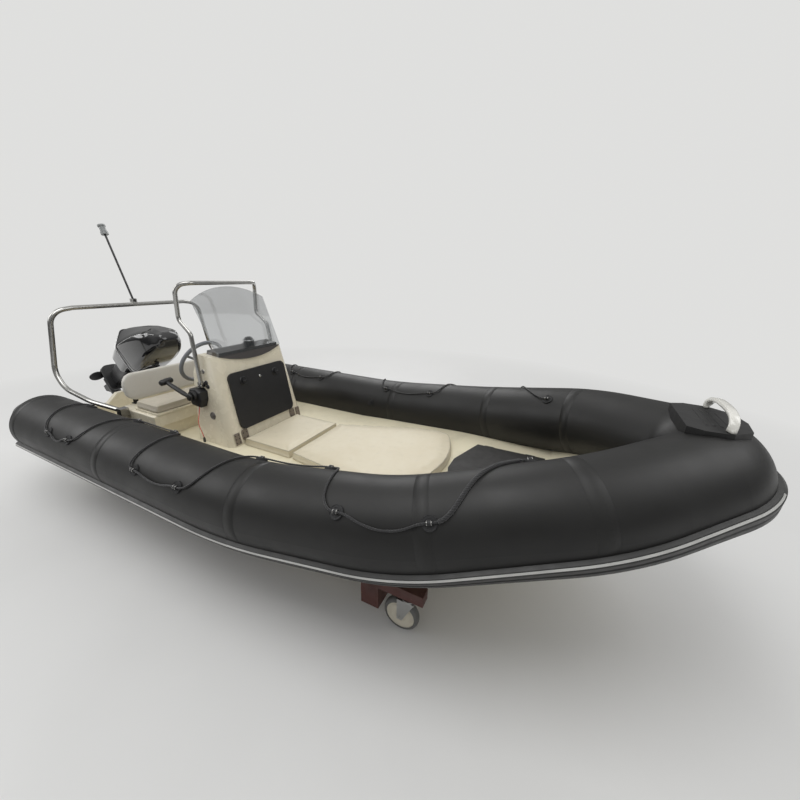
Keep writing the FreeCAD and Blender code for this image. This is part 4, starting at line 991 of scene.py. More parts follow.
class BOAT_OT_seat_cushions(Operator):
    """Seat cushion on the lid"""
    bl_idname = "boat.seat_cushions"
    bl_label = "Seat Cushions"

    def execute(self, context):
        cushion("cushion_seat", "seat_cushion", "seat", cover="cushion_vinyl")
        return {"FINISHED"}


class BOAT_OT_backrest(Operator):
    """Padded backrest board"""
    bl_idname = "boat.backrest"
    bl_label = "Backrest"

    def execute(self, context):
        mesh = puffed("back_pad", "backrest", BACKREST_SWELL, sizes().cushion_voxel,
                      BACKREST_SHRINK)
        piece = new_piece("back_pad", mesh, "boat", "board_vinyl")
        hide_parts("backrest")
        return {"FINISHED"}


# Castors

HUB_RADIUS = 0.074


class BOAT_OT_castor_wheels(Operator):
    """Castor wheels with a tread, rims and a moulded hub"""
    bl_idname = "boat.castor_wheels"
    bl_label = "Castor Wheels"

    def execute(self, context):
        for end in ("fore", "aft"):
            for side in ("port", "starboard"):
                self.wheel(end + "_" + side)
        return {"FINISHED"}

    def wheel(self, name):
        low, high = (Vector(corner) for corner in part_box("castor_wheel_" + name))
        middle, half = (low + high) / 2, (high.y - low.y) / 2
        outer = (high.z - low.z) / 2
        body = "wheel_" + name
        tread = ((HUB_RADIUS, -half), (outer - 0.010, -half), (outer - 0.003, -half + 0.006),
                 (outer, -half + 0.014), (outer, half - 0.014), (outer - 0.003, half - 0.006),
                 (outer - 0.010, half), (HUB_RADIUS, half), (HUB_RADIUS, -half))
        hub = ((0.0076, -half), (0.022, -half), (0.026, -half + 0.006), (0.062, -half + 0.010),
               (0.066, -half + 0.002), (0.0738, -half + 0.002), (0.0738, half - 0.002),
               (0.066, half - 0.002), (0.062, half - 0.010), (0.026, half - 0.006),
               (0.022, half), (0.0076, half), (0.0076, -half))
        for label, profile, material in (("tread", tread, "castor_tread"),
                                         ("hub", hub, "castor_hub")):
            bm = bmesh.new()
            lathe(bm, profile, middle, Vector((0, 1, 0)), 48)
            piece = new_piece("%s_%s" % (label, name), mesh_from(bm, label), body, material)
            if label == "tread":
                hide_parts("castor_wheel_" + name)


# Fittings

# The console's faces, as the part's source has them: its front leans back by 0.112 over
# 0.620, and each side leans in by 0.055 over 0.660
FRONT_FOOT = Vector((TRANSOM + 1.450, 0, DECK))
FRONT_LEAN = math.atan2(0.112, 0.620)
FRONT_UP = Vector((-math.sin(FRONT_LEAN), 0, math.cos(FRONT_LEAN)))
FRONT_OUT = Vector((math.cos(FRONT_LEAN), 0, math.sin(FRONT_LEAN)))
CONSOLE_HALF, SIDE_IN, SIDE_UP = 0.360, 0.055, 0.660
SIDE_LEAN = math.atan2(SIDE_IN, SIDE_UP)


def on_front(y, up, out):
    """A point on the console's front face."""
    return FRONT_FOOT + FRONT_UP * up + FRONT_OUT * out + Vector((0, y, 0))


def on_side(x, z, out=0.0):
    """A point on the console's starboard side, and the direction out of it."""
    half = CONSOLE_HALF - (z - DECK) * SIDE_IN / SIDE_UP
    outward = Vector((0, -math.cos(SIDE_LEAN), math.sin(SIDE_LEAN)))
    return Vector((TRANSOM + x, -half, z)) + outward * out, outward


def turned(name, profile, middle, axis, body, material, steps=32):
    """A turned piece."""
    bm = bmesh.new()
    lathe(bm, profile, middle, axis, steps)
    return new_piece(name, mesh_from(bm, name), body, material)


# A bar's section: its sides, and the power that squares its corners, where 1 is round
BAR_SIDES, BAR_POWER = 16, 0.45


def bar(bm, points, width, height, upward):
    """A flat bar with softened corners along points."""
    rows = []
    for index, point in enumerate(points):
        before, after = points[max(0, index - 1)], points[min(len(points) - 1, index + 1)]
        along = (after - before).normalized()
        lift, across = side_directions(along, upward)
        corners = []
        for turn in range(BAR_SIDES):
            angle = 2 * math.pi * turn / BAR_SIDES
            flat, tall = (math.copysign(abs(value) ** BAR_POWER, value)
                          for value in (math.cos(angle), math.sin(angle)))
            corners.append(bm.verts.new(point + across * (flat * width / 2) +
                                        lift * (tall * height / 2)))
        rows.append(corners)
    for row, following in zip(rows, rows[1:]):
        for turn in range(BAR_SIDES):
            onward = (turn + 1) % BAR_SIDES
            bm.faces.new((row[turn], row[onward], following[onward], following[turn]))
    bm.faces.new(rows[0])
    bm.faces.new(rows[-1])


# On the console's front: heights up it, and how far its door and hinges stand out
LATCH_UP, DOOR_OUT, LATCH_GRIP_OUT = 0.443, 0.0183, 0.0385
HINGE_OUT, HINGE_AT, HINGE_SCREW = 0.0076, 0.240, 0.0055
LATCH_DISH = ((0.0222, 0), (0.0222, 0.004), (0.026, 0.006), (0.030, 0.004), (0.031, 0))
PLATE_AT, PLATE_LOW, PLATE_HIGH, PLATE_WIDE, PLATE_THICK = 0.304, 0.012, 0.098, 0.048, 0.0028


class BOAT_OT_door_fittings(Operator):
    """Lock, latches, and the plates and screws of the console door's hinges"""
    bl_idname = "boat.door_fittings"
    bl_label = "Door Fittings"

    def execute(self, context):
        turned("door_lock", ((0, 0.006), (0.007, 0.006), (0.0095, 0.0045), (0.010, 0)),
               on_front(0, LATCH_UP, DOOR_OUT), FRONT_OUT, "door", "lock_steel",
               24)
        for name, y in (("starboard", -0.150), ("port", 0.150)):
            turned("latch_dish_" + name, LATCH_DISH, on_front(y, LATCH_UP, DOOR_OUT), FRONT_OUT,
                   "door", "black_plastic")
            bm = bmesh.new()
            ends = [on_front(y + reach, LATCH_UP, LATCH_GRIP_OUT) for reach in (-0.018, 0.018)]
            bar(bm, even_points(ends, 0.006), 0.010, 0.008, FRONT_OUT)
            new_piece("latch_grip_" + name, mesh_from(bm, "latch_grip"), "door", "black_plastic")
        screws = [(on_front(side * HINGE_AT + y, up, HINGE_OUT), FRONT_OUT) for side in (-1, 1)
                  for up in (0.046, 0.082) for y in (-0.014, 0.014)]
        on_screws("hinge_screws", screws, "boat", "screw_dark", "steel", HINGE_SCREW)
        self.plates()
        return {"FINISHED"}

    def plates(self):
        """A screwed plate on the console beside each hinge."""
        screws = []
        for name, y in (("starboard", -PLATE_AT), ("port", PLATE_AT)):
            bm = bmesh.new()
            ends = [on_front(y, up, PLATE_THICK / 2) for up in (PLATE_LOW, PLATE_HIGH)]
            bar(bm, even_points(ends, 0.006), PLATE_WIDE, PLATE_THICK, FRONT_OUT)
            new_piece("hinge_plate_" + name, mesh_from(bm, "hinge_plate"), "boat", "hinge_tan")
            screws += [(on_front(y + across, up, PLATE_THICK), FRONT_OUT)
                       for across in (-0.013, 0.013) for up in (0.028, 0.055, 0.082)]
        on_screws("plate_screws", screws, "boat", "screw_dark", "steel", HINGE_SCREW)


# Turned profiles of the fittings on the console's starboard side: radius and height
FAIRLEAD = ((0.004, 0.0), (0.004, 0.006), (0.010, 0.008), (0.015, 0.004), (0.016, 0.0))
SOCKET_CAP = ((0, 0.006), (0.012, 0.006), (0.013, 0.004), (0.020, 0.004), (0.021, 0.007),
              (0.025, 0.005), (0.027, 0))
SOCKET_AT, SOCKET_SCREWS = (1.270, 0.699), ((1, 1), (-1, 1), (1, -1), (-1, -1))
# the throttle's lever: its ends from the transom, and the profiles of its three turned parts
LEVER_ROOT, LEVER_TIP = (1.178, -0.424, 0.846), (0.940, -0.424, 0.920)
LEVER_HUB = ((0, 0), (0.022, 0), (0.0255, 0.003), (0.0255, 0.018), (0.021, 0.0217), (0, 0.0217))
LEVER_ARM = ((0, -0.010), (0.008, -0.008), (0.0115, 0), (0.0125, 0.03), (0.0155, 0.06),
             (0.015, 0.16), (0.013, 0.22))
LEVER_GRIP = ((0, 0), (0.013, 0.001), (0.019, 0.006), (0.0215, 0.018), (0.0225, 0.045),
              (0.0215, 0.072), (0.019, 0.084), (0.013, 0.0895), (0, 0.0906))


class BOAT_OT_console_fittings(Operator):
    """Pad eye, fairleads and socket on the console's side, and the throttle's lever"""
    bl_idname = "boat.console_fittings"
    bl_label = "Console Fittings"

    def execute(self, context):
        place, outward = on_side(1.208, 1.005)
        turned("pad_eye_base", ((0, 0.003), (0.014, 0.003), (0.016, 0.0)), place, outward, "boat",
               "steel", 24)
        on_rings("pad_eye", [(place + outward * 0.009, Vector((1, 0, 0)))], "boat", "steel",
                 "steel", 0.009, 0.002)
        for number, (x, z) in enumerate(((1.232, 0.930), (1.246, 0.905))):
            place, outward = on_side(x, z)
            turned("fairlead_%d" % number, FAIRLEAD, place, outward, "boat", "black_plastic",
                   24)
        x, z = SOCKET_AT
        place, outward = on_side(x, z)
        turned("socket_cap", SOCKET_CAP, place, outward, "boat", "socket_grey")
        screws = [(on_side(x + 0.016 * ahead, z + 0.016 * above, 0.0045)[0], outward)
                  for ahead, above in SOCKET_SCREWS]
        on_screws("socket_screws", screws, "boat", "screw_dark", "steel", 0.003)
        self.lever()
        return {"FINISHED"}

    def lever(self):
        """The throttle's lever: hub, thick arm and barrel grip."""
        root, tip = (Vector((TRANSOM + x, y, z)) for x, y, z in (LEVER_ROOT, LEVER_TIP))
        reach = (tip - root).length
        low, high = tip + Vector((0, -0.042, -0.004)), tip + Vector((0, 0.048, 0.006))
        bm = bmesh.new()
        lathe(bm, LEVER_HUB, root + Vector((0, 0.0117, 0)), Vector((0, -1, 0)), 40)
        lathe(bm, LEVER_ARM + ((0.013, reach), (0, reach)), root, tip - root, 24)
        lathe(bm, LEVER_GRIP, low, high - low, 32)
        grip = new_piece("throttle_arm", mesh_from(bm, "throttle_arm"), "boat", "lever_black")
        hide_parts("throttle_lever")


# The band ends this far under the console's top, and stands this far off the screen
BAND_BELOW_TOP, BAND_LIFT = 0.006, 0.0007


class BOAT_OT_screen_band(Operator):
    """Dark lower band of the windscreen, over the top of the dash"""
    bl_idname = "boat.screen_band"
    bl_label = "Screen Band"

    def execute(self, context):
        bm = merged_copy("windscreen")
        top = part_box("console")[1][2] - BAND_BELOW_TOP
        bmesh.ops.bisect_plane(bm, geom=bm.verts[:] + bm.edges[:] + bm.faces[:],
                               plane_co=(0, 0, top), plane_no=(0, 0, 1), clear_outer=True)
        bmesh.ops.holes_fill(bm, edges=[edge for edge in bm.edges if edge.is_boundary])
        bm.normal_update()
        for vertex in bm.verts:
            vertex.co += vertex.normal * BAND_LIFT
        new_piece("screen_band", mesh_from(bm, "screen_band", smooth=False), "boat", "smoked")
        return {"FINISHED"}


# Lifts over the tube's skin of a patch's top, a point above it and the middle of its ear,
# and how far each ring stands from that middle
PATCH_LIFT, ABOVE_LIFT, EAR_LIFT, EAR_HALF = 0.0056, 0.02, 0.011, 0.0085


class BOAT_OT_eyelets(Operator):
    """Steel eyes and patch rims where the grab line is laced"""
    bl_idname = "boat.eyelets"
    bl_label = "Eyelets"

    def execute(self, context):
        rims, inner, eyes = [], [], []
        for side in (-1, 1):
            for along, angle in EYELETS:
                skin, above, ear = (on_collar(along / 1000, angle, lift, side)
                                    for lift in (PATCH_LIFT, ABOVE_LIFT, EAR_LIFT))
                upward = (above - skin).normalized()
                ahead = (on_collar(along / 1000 + 0.01, angle, EAR_LIFT, side) - ear).normalized()
                rims.append((skin, upward))
                inner.append((skin + upward * 0.0002, upward))
                eyes += [(ear + ahead * EAR_HALF, ahead), (ear - ahead * EAR_HALF, ahead)]
        on_rings("patch_rims", rims, "boat", "black_rubber", "black_rubber", 0.0285, 0.0012)
        on_rings("patch_welts", inner, "boat", "black_rubber", "black_rubber", 0.019, 0.0010)
        on_rings("eyelet_rings", eyes, "boat", "steel", "steel", 0.0088, 0.0016)
        return {"FINISHED"}


# The handle's section and steps, and the power that fills its arch, where 1 is an ellipse
HANDLE_WIDE, HANDLE_THICK, HANDLE_STEPS, HANDLE_ARCH = 0.032, 0.020, 40, 0.75


class BOAT_OT_bow_handle(Operator):
    """Broad polished handle arched over the bow pad"""
    bl_idname = "boat.bow_handle"
    bl_label = "Bow Handle"

    def execute(self, context):
        low, high = (Vector(corner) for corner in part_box("bow_handle"))
        middle, half = (low.x + high.x) / 2, (high.y - low.y) / 2 - 0.006
        rise = high.z - low.z - 0.008
        bm = bmesh.new()
        points = []
        for step in range(HANDLE_STEPS + 1):
            turn = math.pi * step / HANDLE_STEPS
            reach, lift = math.cos(turn), math.sin(turn)
            points.append(Vector((middle + 0.010 * lift - 0.006,
                                  -half * math.copysign(abs(reach) ** HANDLE_ARCH, reach),
                                  low.z + 0.002 + rise * lift ** HANDLE_ARCH)))
        bar(bm, points, HANDLE_WIDE, HANDLE_THICK, UP)
        # the handle's pale finish is a painted reflection standing in for polished metal
        piece = new_piece("bow_grip", mesh_from(bm, "bow_grip"), "boat", "handle_painted_shine")
        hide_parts("bow_handle")
        return {"FINISHED"}


# Ribs across the bow pad: distance from its rear edge and half length
PAD_RIBS = ((0.075, 0.105), (0.100, 0.105), (0.125, 0.105), (0.150, 0.085))


class BOAT_OT_bow_pad(Operator):
    """Bow pad with softened edges and ribs across it"""
    bl_idname = "boat.bow_pad"
    bl_label = "Bow Pad"

    def execute(self, context):
        bm = merged_copy("bow_step")
        bmesh.ops.dissolve_limit(bm, angle_limit=math.radians(2), verts=bm.verts, edges=bm.edges)
        sharp = [edge for edge in bm.edges if len(edge.link_faces) == 2 and
                 edge.calc_face_angle(0) > math.radians(25)]
        bmesh.ops.bevel(bm, geom=sharp, offset=0.004, segments=3, affect="EDGES",
                        clamp_overlap=True, profile=0.5)
        piece = new_piece("bow_pad", mesh_from(bm, "bow_pad", smooth=False), "boat", "pad_rubber")
        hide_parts("bow_step")
        ribs = bmesh.new()
        low, high = (Vector(corner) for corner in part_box("bow_step"))
        for x, reach in PAD_RIBS:
            ends = [Vector((low.x + x, y, high.z)) for y in (-reach, reach)]
            bar(ribs, even_points(ends, 0.02), 0.007, 0.003, UP)
        new_piece("bow_pad_ribs", mesh_from(ribs, "bow_pad_ribs"), "boat", "pad_rubber")
        return {"FINISHED"}


# The cowl's level outlines in the engine's own frame, as the part's source has them: height,
# then x, half breadth and corner radius from the front, in millimetres
COWL = (
    (24, ((-60, 132, 60), (-330, 166, 80), (-468, 72, 52))),
    (130, ((-44, 150, 72), (-318, 180, 90), (-456, 72, 56))),
    (300, ((-36, 156, 80), (-292, 180, 96), (-392, 66, 52))),
    (430, ((-44, 146, 78), (-262, 166, 90), (-320, 60, 40))),
    (530, ((-64, 116, 66), (-214, 128, 60), (-252, 48, 30))),
    (588, ((-100, 72, 40), (-160, 78, 24), (-184, 30, 16))),
)
# the outline of the pan under it at its foot
PAN_RIM = ((-66, 128, 60), (-330, 160, 80), (-462, 70, 50))
TILT_AT, TILT_UP = Vector((TRANSOM - 0.062, 0, 0.690)), math.radians(57)
# the cowl's lowest and highest level, and the closing rings over it: share and rise
COWL_LOW, COWL_HIGH, COWL_LEVELS = 30, 588, 40
CROWN_AT, CROWN = -142, ((0.86, 5), (0.62, 9), (0.34, 11))
# the cowl is cut off along a line from its front to its rear: x and height at each end
SPLIT_FRONT, SPLIT_REAR = (40, 41), (-600, 121)
# which points of a level outline the ridges and the trim follow, counted from either end
RIDGE_POINT, TRIM_POINT = 5, 16
RIDGE_LOW, RIDGE_RISE, RIDGE_STEPS = 140, 420, 30


def tilted(x, y, z):
    """A point of the engine's own frame, in millimetres, where the outboard is tilted up."""
    turn = Matrix.Rotation(TILT_UP, 3, "Y")
    return TILT_AT + turn @ (Vector((x, y, z)) / 1000)


def cowl_corners(height):
    """The cowl's corners at a height, eased between the outlines."""
    rows = [COWL[0], *COWL, COWL[-1]]
    for index in range(1, len(rows) - 2):
        if height <= rows[index + 1][0]:
            break
    share = (height - rows[index][0]) / (rows[index + 1][0] - rows[index][0])
    corners = []
    for corner in range(3):
        values = []
        for part in range(3):
            a, b, c, d = (rows[index + step][1][corner][part] for step in (-1, 0, 1, 2))
            values.append(b + 0.5 * share * (c - a + share * (2 * a - 5 * b + 4 * c - d +
                                                              share * (3 * (b - c) + d - a))))
        corners.append(values)
    return corners


def rounded_outline(corners, steps=10):
    """Points round a level outline that is alike to port and starboard."""
    places = [Vector((x, half, 0)) for x, half, radius in corners]
    places += [Vector((x, -half, 0)) for x, half, radius in reversed(corners)]
    radii = [radius for x, half, radius in corners]
    points = []
    for before, corner, after, radius in zip(places[-1:] + places, places, places[1:] + places[:1],
                                             radii + radii[::-1]):
        back, ahead = (before - corner).normalized(), (after - corner).normalized()
        half_turn = (math.pi - back.angle(ahead)) / 2
        middle = corner + (back + ahead).normalized() * (radius / math.cos(half_turn))
        enter = corner + back * (radius * math.tan(half_turn)) - middle
        leave = corner + ahead * (radius * math.tan(half_turn)) - middle
        for step in range(steps + 1):
            share = step / steps
            arm = (enter * math.sin((1 - share) * 2 * half_turn) +
                   leave * math.sin(share * 2 * half_turn))
            points.append(middle + arm / math.sin(2 * half_turn))
    return points


class BOAT_OT_cowl(Operator):
    """Smooth glossy cowl with its ridges, trim and seal"""
    bl_idname = "boat.cowl"
    bl_label = "Cowl"

    def execute(self, context):
        bm = bmesh.new()
        rows = []
        for level in range(COWL_LEVELS + 1):
            height = COWL_LOW + (COWL_HIGH - COWL_LOW) * level / COWL_LEVELS
            rows.append([bm.verts.new(tilted(p.x, p.y, height))
                         for p in rounded_outline(cowl_corners(height))])
        count = len(rows[0])
        for row, following in zip(rows, rows[1:]):
            for step in range(count):
                bm.faces.new((row[step], row[(step + 1) % count],
                              following[(step + 1) % count], following[step]))
        previous = rows[-1]
        for shrink, lift in CROWN:
            ring = [bm.verts.new(tilted(CROWN_AT + (p.x - CROWN_AT) * shrink, p.y * shrink,
                                        COWL_HIGH + lift))
                    for p in rounded_outline(cowl_corners(COWL_HIGH))]
            for step in range(count):
                bm.faces.new((previous[step], previous[(step + 1) % count],
                              ring[(step + 1) % count], ring[step]))
            previous = ring
        bm.faces.new(previous)
        bm.faces.new(rows[0])
        plane_at, plane_to = (tilted(x, 0, height) for x, height in (SPLIT_FRONT, SPLIT_REAR))
        along = (plane_to - plane_at).normalized()
        outward = along.cross(Vector((0, 1, 0)))
        if outward.dot(tilted(0, 0, 500) - plane_at) < 0:
            outward.negate()
        bmesh.ops.bisect_plane(bm, geom=bm.verts[:] + bm.edges[:] + bm.faces[:], plane_co=plane_at,
                               plane_no=outward, clear_inner=True)
        bmesh.ops.holes_fill(bm, edges=[edge for edge in bm.edges if edge.is_boundary])
        mesh = mesh_from(bm, "cowl_shell")
        cowl = new_piece("cowl_shell", mesh, "motor", "cowl_gloss")
        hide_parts("engine_cowl")
        self.lines()
        return {"FINISHED"}

    def lines(self):
        """Ridges over the shoulders, silver trim at the rear and the foot, and the seal."""
        ridge, trim, rim, foot = (bmesh.new() for number in range(4))
        for side in (-1, 1):
            shoulder, edge = [], []
            for step in range(RIDGE_STEPS + 1):
                height = RIDGE_LOW + RIDGE_RISE * step / RIDGE_STEPS
                outline = rounded_outline(cowl_corners(height))
                if side < 0:
                    outline.reverse()
                for line, number in ((shoulder, RIDGE_POINT), (edge, TRIM_POINT)):
                    line.append(tilted(outline[number].x, outline[number].y, height))
            sweep(ridge, shoulder, 0.0035, 8)
            sweep(trim, edge, 0.0028, 8)
        seal = [tilted(p.x, p.y, 46 + (40 - p.x) * 80 / 640 + 12)
                for p in rounded_outline(cowl_corners(130))]
        sweep(rim, seal, 0.0030, 8, closed=True)
        pan_rim = [tilted(p.x, p.y, 24) for p in rounded_outline(PAN_RIM)]
        sweep(foot, pan_rim, 0.0035, 8, closed=True)
        for name, bm, finish, slot in (("cowl_ridges", ridge, "cowl_gloss", "cowl_gloss"),
                                       ("cowl_trim", trim, "silver_trim", "cowl_gloss"),
                                       ("cowl_seal", rim, "black_rubber", "cowl_gloss"),
                                       ("pan_trim", foot, "silver_trim", "engine_black")):
            new_piece(name, mesh_from(bm, name), "motor", finish)


BEZEL = ((0.0385, -0.026), (0.0405, -0.024), (0.0405, -0.018), (0.037, -0.016))
DOME = ((0.031, -0.0125), (0.028, -0.004), (0.020, 0.003), (0.010, 0.0058), (0, 0.0065))


class BOAT_OT_compass(Operator):
    """Compass bezel and its clear dome"""
    bl_idname = "boat.compass"
    bl_label = "Compass"

    def execute(self, context):
        low, high = (Vector(corner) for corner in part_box("compass"))
        foot = Vector(((low.x + high.x) / 2, (low.y + high.y) / 2, high.z))
        turned("compass_bezel", BEZEL, foot, UP, "boat", "silver_trim")
        turned("compass_dome", DOME, foot, UP, "boat", "lens_clear")
        return {"FINISHED"}


# The console's rear face: its foot and top from the transom
REAR_LOW, REAR_HIGH = (1.060, 0, 0.900), (1.168, 0, 1.119)
GAUGES_AT, GAUGES_UP, GAUGE_MARKS = (0.03, 0.13, 0.23), 0.135, 11
GAUGE_BEZEL = ((0.030, 0.004), (0.034, 0.007), (0.038, 0.006), (0.041, 0))
GAUGE_FACE = ((0, 0.0035), (0.031, 0.0035), (0.031, 0))
SWITCHES_UP, SWITCH_PITCH, SWITCH_FIRST = 0.05, 0.041, 0.028


class BOAT_OT_gauges(Operator):
    """Gauges and switches on the console's rear face"""
    bl_idname = "boat.gauges"
    bl_label = "Gauges"

    def execute(self, context):
        low, high = (Vector((TRANSOM + x, y, z)) for x, y, z in (REAR_LOW, REAR_HIGH))
        along = (high - low).normalized()
        outward = Vector((-along.z, 0, along.x))
        for number, y in enumerate(GAUGES_AT):
            place = low + along * GAUGES_UP + Vector((0, y, 0)) + outward * 0.0002
            turned("gauge_bezel_%d" % number, GAUGE_BEZEL, place, outward, "boat", "lock_steel")
            turned("gauge_face_%d" % number, GAUGE_FACE, place, outward, "boat", "dial_face")
            bm = bmesh.new()
            face = place + outward * 0.0040
            for mark in range(GAUGE_MARKS):
                turn = math.radians(-45 + 27 * mark)
                spoke = along * math.sin(turn) + Vector((0, math.cos(turn), 0))
                sweep(bm, [face + spoke * reach for reach in (0.020, 0.027)], 0.0007, 4)
            needle = along * 0.5 + Vector((0, 0.8, 0))
            pivot = place + outward * 0.0048
            sweep(bm, [pivot, pivot + needle * 0.023], 0.0009, 4)
            new_piece("gauge_marks_%d" % number, mesh_from(bm, "gauge_marks"), "boat", "dial_mark")
        panel = bmesh.new()
        start = low + along * SWITCHES_UP + outward * 0.0015
        bar(panel, even_points([start, start + Vector((0, 0.26, 0))], 0.02), 0.050, 0.004, outward)
        new_piece("switch_panel", mesh_from(panel, "switch_panel"), "boat", "black_plastic")
        for name, numbers, material in (("switches", range(5), "dash_grey"),
                                        ("switch_stop", (5,), "switch_red")):
            keys = bmesh.new()
            for number in numbers:
                y = SWITCH_FIRST + SWITCH_PITCH * number
                bar(keys, [start + outward * 0.003 + along * reach + Vector((0, y, 0))
                           for reach in (-0.014, 0.0, 0.014)], 0.018, 0.007, outward)
            new_piece(name, mesh_from(keys, name), "boat", material)
        return {"FINISHED"}


# Screws on the console's sides and on the clamp bracket's ears: x from the transom, half
# breadth and height
SIDE_SCREWS = ((1.190, 0.3572, 0.914), (1.220, 0.3572, 0.914))
CLAMP_SCREWS = ((0.0302, 0.102, 0.600), (0.0302, 0.102, 0.640))


class BOAT_OT_deck_screws(Operator):
    """Screws on the console's sides and through the outboard's clamp bracket"""
    bl_idname = "boat.deck_screws"
    bl_label = "Screws"

    def execute(self, context):
        places = []
        for side in (-1, 1):
            for x, y, z in SIDE_SCREWS:
                places.append((Vector((TRANSOM + x, side * y, z)), Vector((0, side, 0))))
        for side in (-1, 1):
            for x, y, z in CLAMP_SCREWS:
                places.append((Vector((TRANSOM + x, side * y - 0.001, z)), Vector((1, 0, 0))))
        on_screws("steel_screws", places, "boat", "castor_steel", "steel", 0.005)
        return {"FINISHED"}


# Stage

# The camera's place in metres from the transom, and how it is turned in degrees
CAMERA_AT, CAMERA_YAW, CAMERA_DIP, CAMERA_ROLL = (3.428, -1.784, 1.655), 25.84, 19.9, -1.15
CAMERA_FOCAL_PIXELS, IMAGE_WIDTH, SENSOR = 344.97, 800, 36.0
BACKDROP, WORLD_STRENGTH = (0.74, 0.74, 0.73), 0.45
# half the floor's width, and between which distances it fades into the backdrop's tone
FLOOR_HALF, FADE_START, FADE_END = 30.0, 2.8, 6.0
# name, place, power and width of each lamp
LAMPS = (
    ("key", (0.5, -1.5, 5.5), 105, 3.4), ("side", (-4.5, -3.0, 3.8), 90, 3.0),
    ("rear", (-2.0, 4.5, 4.0), 95, 3.5), ("bow", (5.0, 1.0, 4.6), 60, 3.0),
)


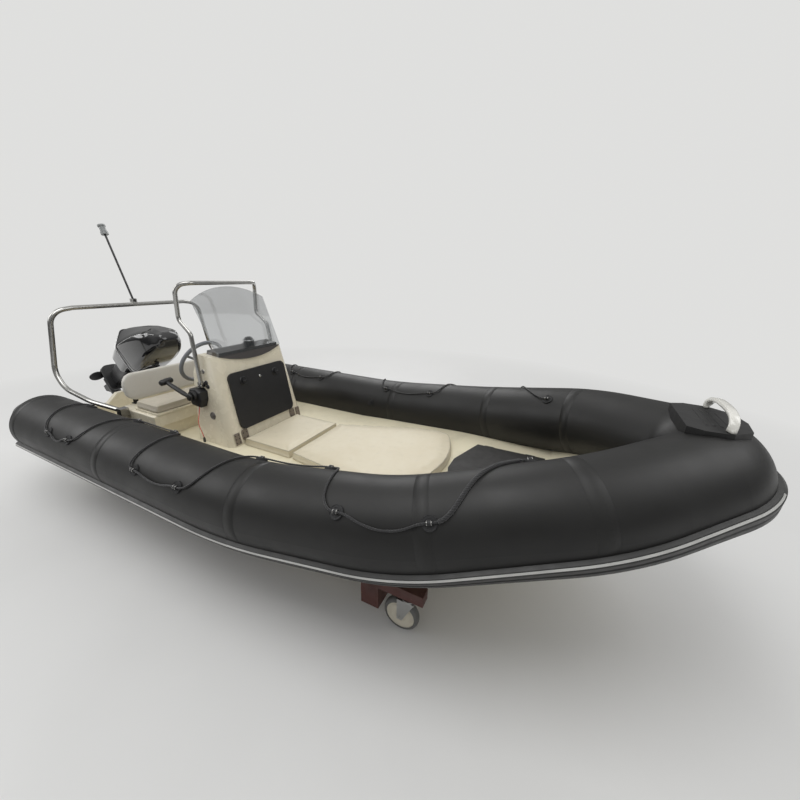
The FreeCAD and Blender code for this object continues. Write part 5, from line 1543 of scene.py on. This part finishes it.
class BOAT_OT_stage(Operator):
    """Pale floor, soft light and the camera"""
    bl_idname = "boat.stage"
    bl_label = "Stage"

    def execute(self, context):
        scene = context.scene
        self.floor(scene)
        self.light(scene)
        self.camera(scene)
        scene.view_settings.view_transform = "Standard"
        return {"FINISHED"}

    def floor(self, scene):
        """Pale floor that fades into the backdrop's tone well away from the boat."""
        shade = Shader("floor_pale", BACKDROP, 0.8)
        shade.tint(shade.noise(0.7, 4), (0.70, 0.70, 0.69), 0.45, 0.75)
        reach = shade.add("ShaderNodeVectorMath", operation="LENGTH")
        shade.link(shade.place, reach.inputs[0])
        glow = shade.add("ShaderNodeEmission")
        glow.inputs["Color"].default_value = (*BACKDROP, 1)
        blend = shade.add("ShaderNodeMixShader")
        faded = shade.ranged(reach.outputs["Value"], FADE_START, FADE_END, 0, 1)
        shade.link(faded, blend.inputs["Fac"])
        shade.link(shade.principled.outputs["BSDF"], blend.inputs[1])
        shade.link(glow.outputs["Emission"], blend.inputs[2])
        shade.link(blend.outputs["Shader"], shade.tree.nodes["Material Output"].inputs["Surface"])
        mesh = bpy.data.meshes.new("floor")
        far = FLOOR_HALF
        mesh.from_pydata([(-far, -far, 0), (far, -far, 0), (far, far, 0), (-far, far, 0)], [],
                         [(0, 1, 2, 3)])
        mesh.materials.append(shade.made)
        floor = bpy.data.objects.new("floor", mesh)
        scene.collection.objects.link(floor)

    def light(self, scene):
        """Pale all round for the camera, dimmer for reflections, with four soft lamps."""
        world = bpy.data.worlds.new("studio")
        scene.world = world
        world.use_nodes = True
        tree = world.node_tree
        lit = tree.nodes["Background"]
        lit.inputs["Color"].default_value = (1, 1, 1, 1)
        lit.inputs["Strength"].default_value = WORLD_STRENGTH
        seen, mirrored = (tree.nodes.new("ShaderNodeBackground") for number in range(2))
        seen.inputs["Color"].default_value = (*BACKDROP, 1)
        self.rising_grey(tree, mirrored.inputs["Color"])
        path = tree.nodes.new("ShaderNodeLightPath")
        first, second = (tree.nodes.new("ShaderNodeMixShader") for number in range(2))
        tree.links.new(path.outputs["Is Glossy Ray"], first.inputs["Fac"])
        tree.links.new(lit.outputs["Background"], first.inputs[1])
        tree.links.new(mirrored.outputs["Background"], first.inputs[2])
        tree.links.new(path.outputs["Is Camera Ray"], second.inputs["Fac"])
        tree.links.new(first.outputs["Shader"], second.inputs[1])
        tree.links.new(seen.outputs["Background"], second.inputs[2])
        tree.links.new(second.outputs["Shader"], tree.nodes["World Output"].inputs["Surface"])
        for name, place, energy, wide in LAMPS:
            lamp = bpy.data.lights.new(name, "AREA")
            lamp.energy, lamp.size = energy, wide
            holder = bpy.data.objects.new(name, lamp)
            holder.location = place
            aim = Vector((0, 0, 0.5)) - Vector(place)
            holder.rotation_euler = aim.to_track_quat("-Z", "Y").to_euler()
            scene.collection.objects.link(holder)

    def rising_grey(self, tree, colour_input):
        """What shines back in gloss: dim low down and pale overhead."""
        way = tree.nodes.new("ShaderNodeTexCoord")
        split = tree.nodes.new("ShaderNodeSeparateXYZ")
        ramp = tree.nodes.new("ShaderNodeValToRGB")
        stops = ((0.0, (0.10, 0.10, 0.10, 1)), (0.8, (*BACKDROP, 1)))
        for stop, (position, shade) in zip(ramp.color_ramp.elements, stops):
            stop.position, stop.color = position, shade
        tree.links.new(way.outputs["Generated"], split.inputs["Vector"])
        tree.links.new(split.outputs["Z"], ramp.inputs["Fac"])
        tree.links.new(ramp.outputs["Color"], colour_input)

    def camera(self, scene):
        """The photograph's viewpoint."""
        yaw, dip, roll = (math.radians(angle) for angle in (CAMERA_YAW, CAMERA_DIP, CAMERA_ROLL))
        level = Vector((-math.sin(yaw), math.cos(yaw), 0))
        right = Vector((math.cos(yaw), math.sin(yaw), 0))
        ahead = level * math.cos(dip) - UP * math.sin(dip)
        down = -(UP * math.cos(dip) + level * math.sin(dip))
        image_right = right * math.cos(roll) + down * math.sin(roll)
        image_down = down * math.cos(roll) - right * math.sin(roll)
        turn = Matrix((image_right, -image_down, -ahead)).transposed().to_4x4()
        lens = bpy.data.cameras.new("camera")
        lens.sensor_width = SENSOR
        lens.lens = CAMERA_FOCAL_PIXELS / IMAGE_WIDTH * SENSOR
        lens.clip_start, lens.clip_end = 0.02, 200
        camera = bpy.data.objects.new("camera", lens)
        x, y, z = CAMERA_AT
        camera.matrix_world = Matrix.Translation((TRANSOM + x, y, z)) @ turn
        scene.collection.objects.link(camera)
        scene.camera = camera


OPERATORS = (
    BOAT_OT_stage, BOAT_OT_finishes, BOAT_OT_grab_lines, BOAT_OT_kill_cord, BOAT_OT_collar_seams,
    BOAT_OT_strake_stripe, BOAT_OT_eyelets, BOAT_OT_deck_pads, BOAT_OT_seat_cushions,
    BOAT_OT_backrest, BOAT_OT_castor_wheels, BOAT_OT_cowl, BOAT_OT_bow_handle, BOAT_OT_bow_pad,
    BOAT_OT_door_fittings, BOAT_OT_console_fittings, BOAT_OT_screen_band, BOAT_OT_compass,
    BOAT_OT_gauges, BOAT_OT_deck_screws,
)


class BOAT_PT_panel(Panel):
    """Lists the boat's pieces"""
    bl_label = "Inflatable Boat"
    bl_space_type = "VIEW_3D"
    bl_region_type = "UI"
    bl_category = "Boat"

    def draw(self, context):
        for operator in OPERATORS:
            self.layout.operator(operator.bl_idname)


CLASSES = (BoatColours, BoatSizes, *OPERATORS, BOAT_PT_panel)


def register():
    for kind in CLASSES:
        bpy.utils.register_class(kind)
    bpy.types.Scene.boat_colours = PointerProperty(type=BoatColours)
    bpy.types.Scene.boat_sizes = PointerProperty(type=BoatSizes)


def unregister():
    del bpy.types.Scene.boat_sizes
    del bpy.types.Scene.boat_colours
    for kind in reversed(CLASSES):
        bpy.utils.unregister_class(kind)


def main():
    register()
    for operator in OPERATORS:
        group, name = operator.bl_idname.split(".")
        getattr(getattr(bpy.ops, group), name)()


if __name__ == "__main__":
    main()
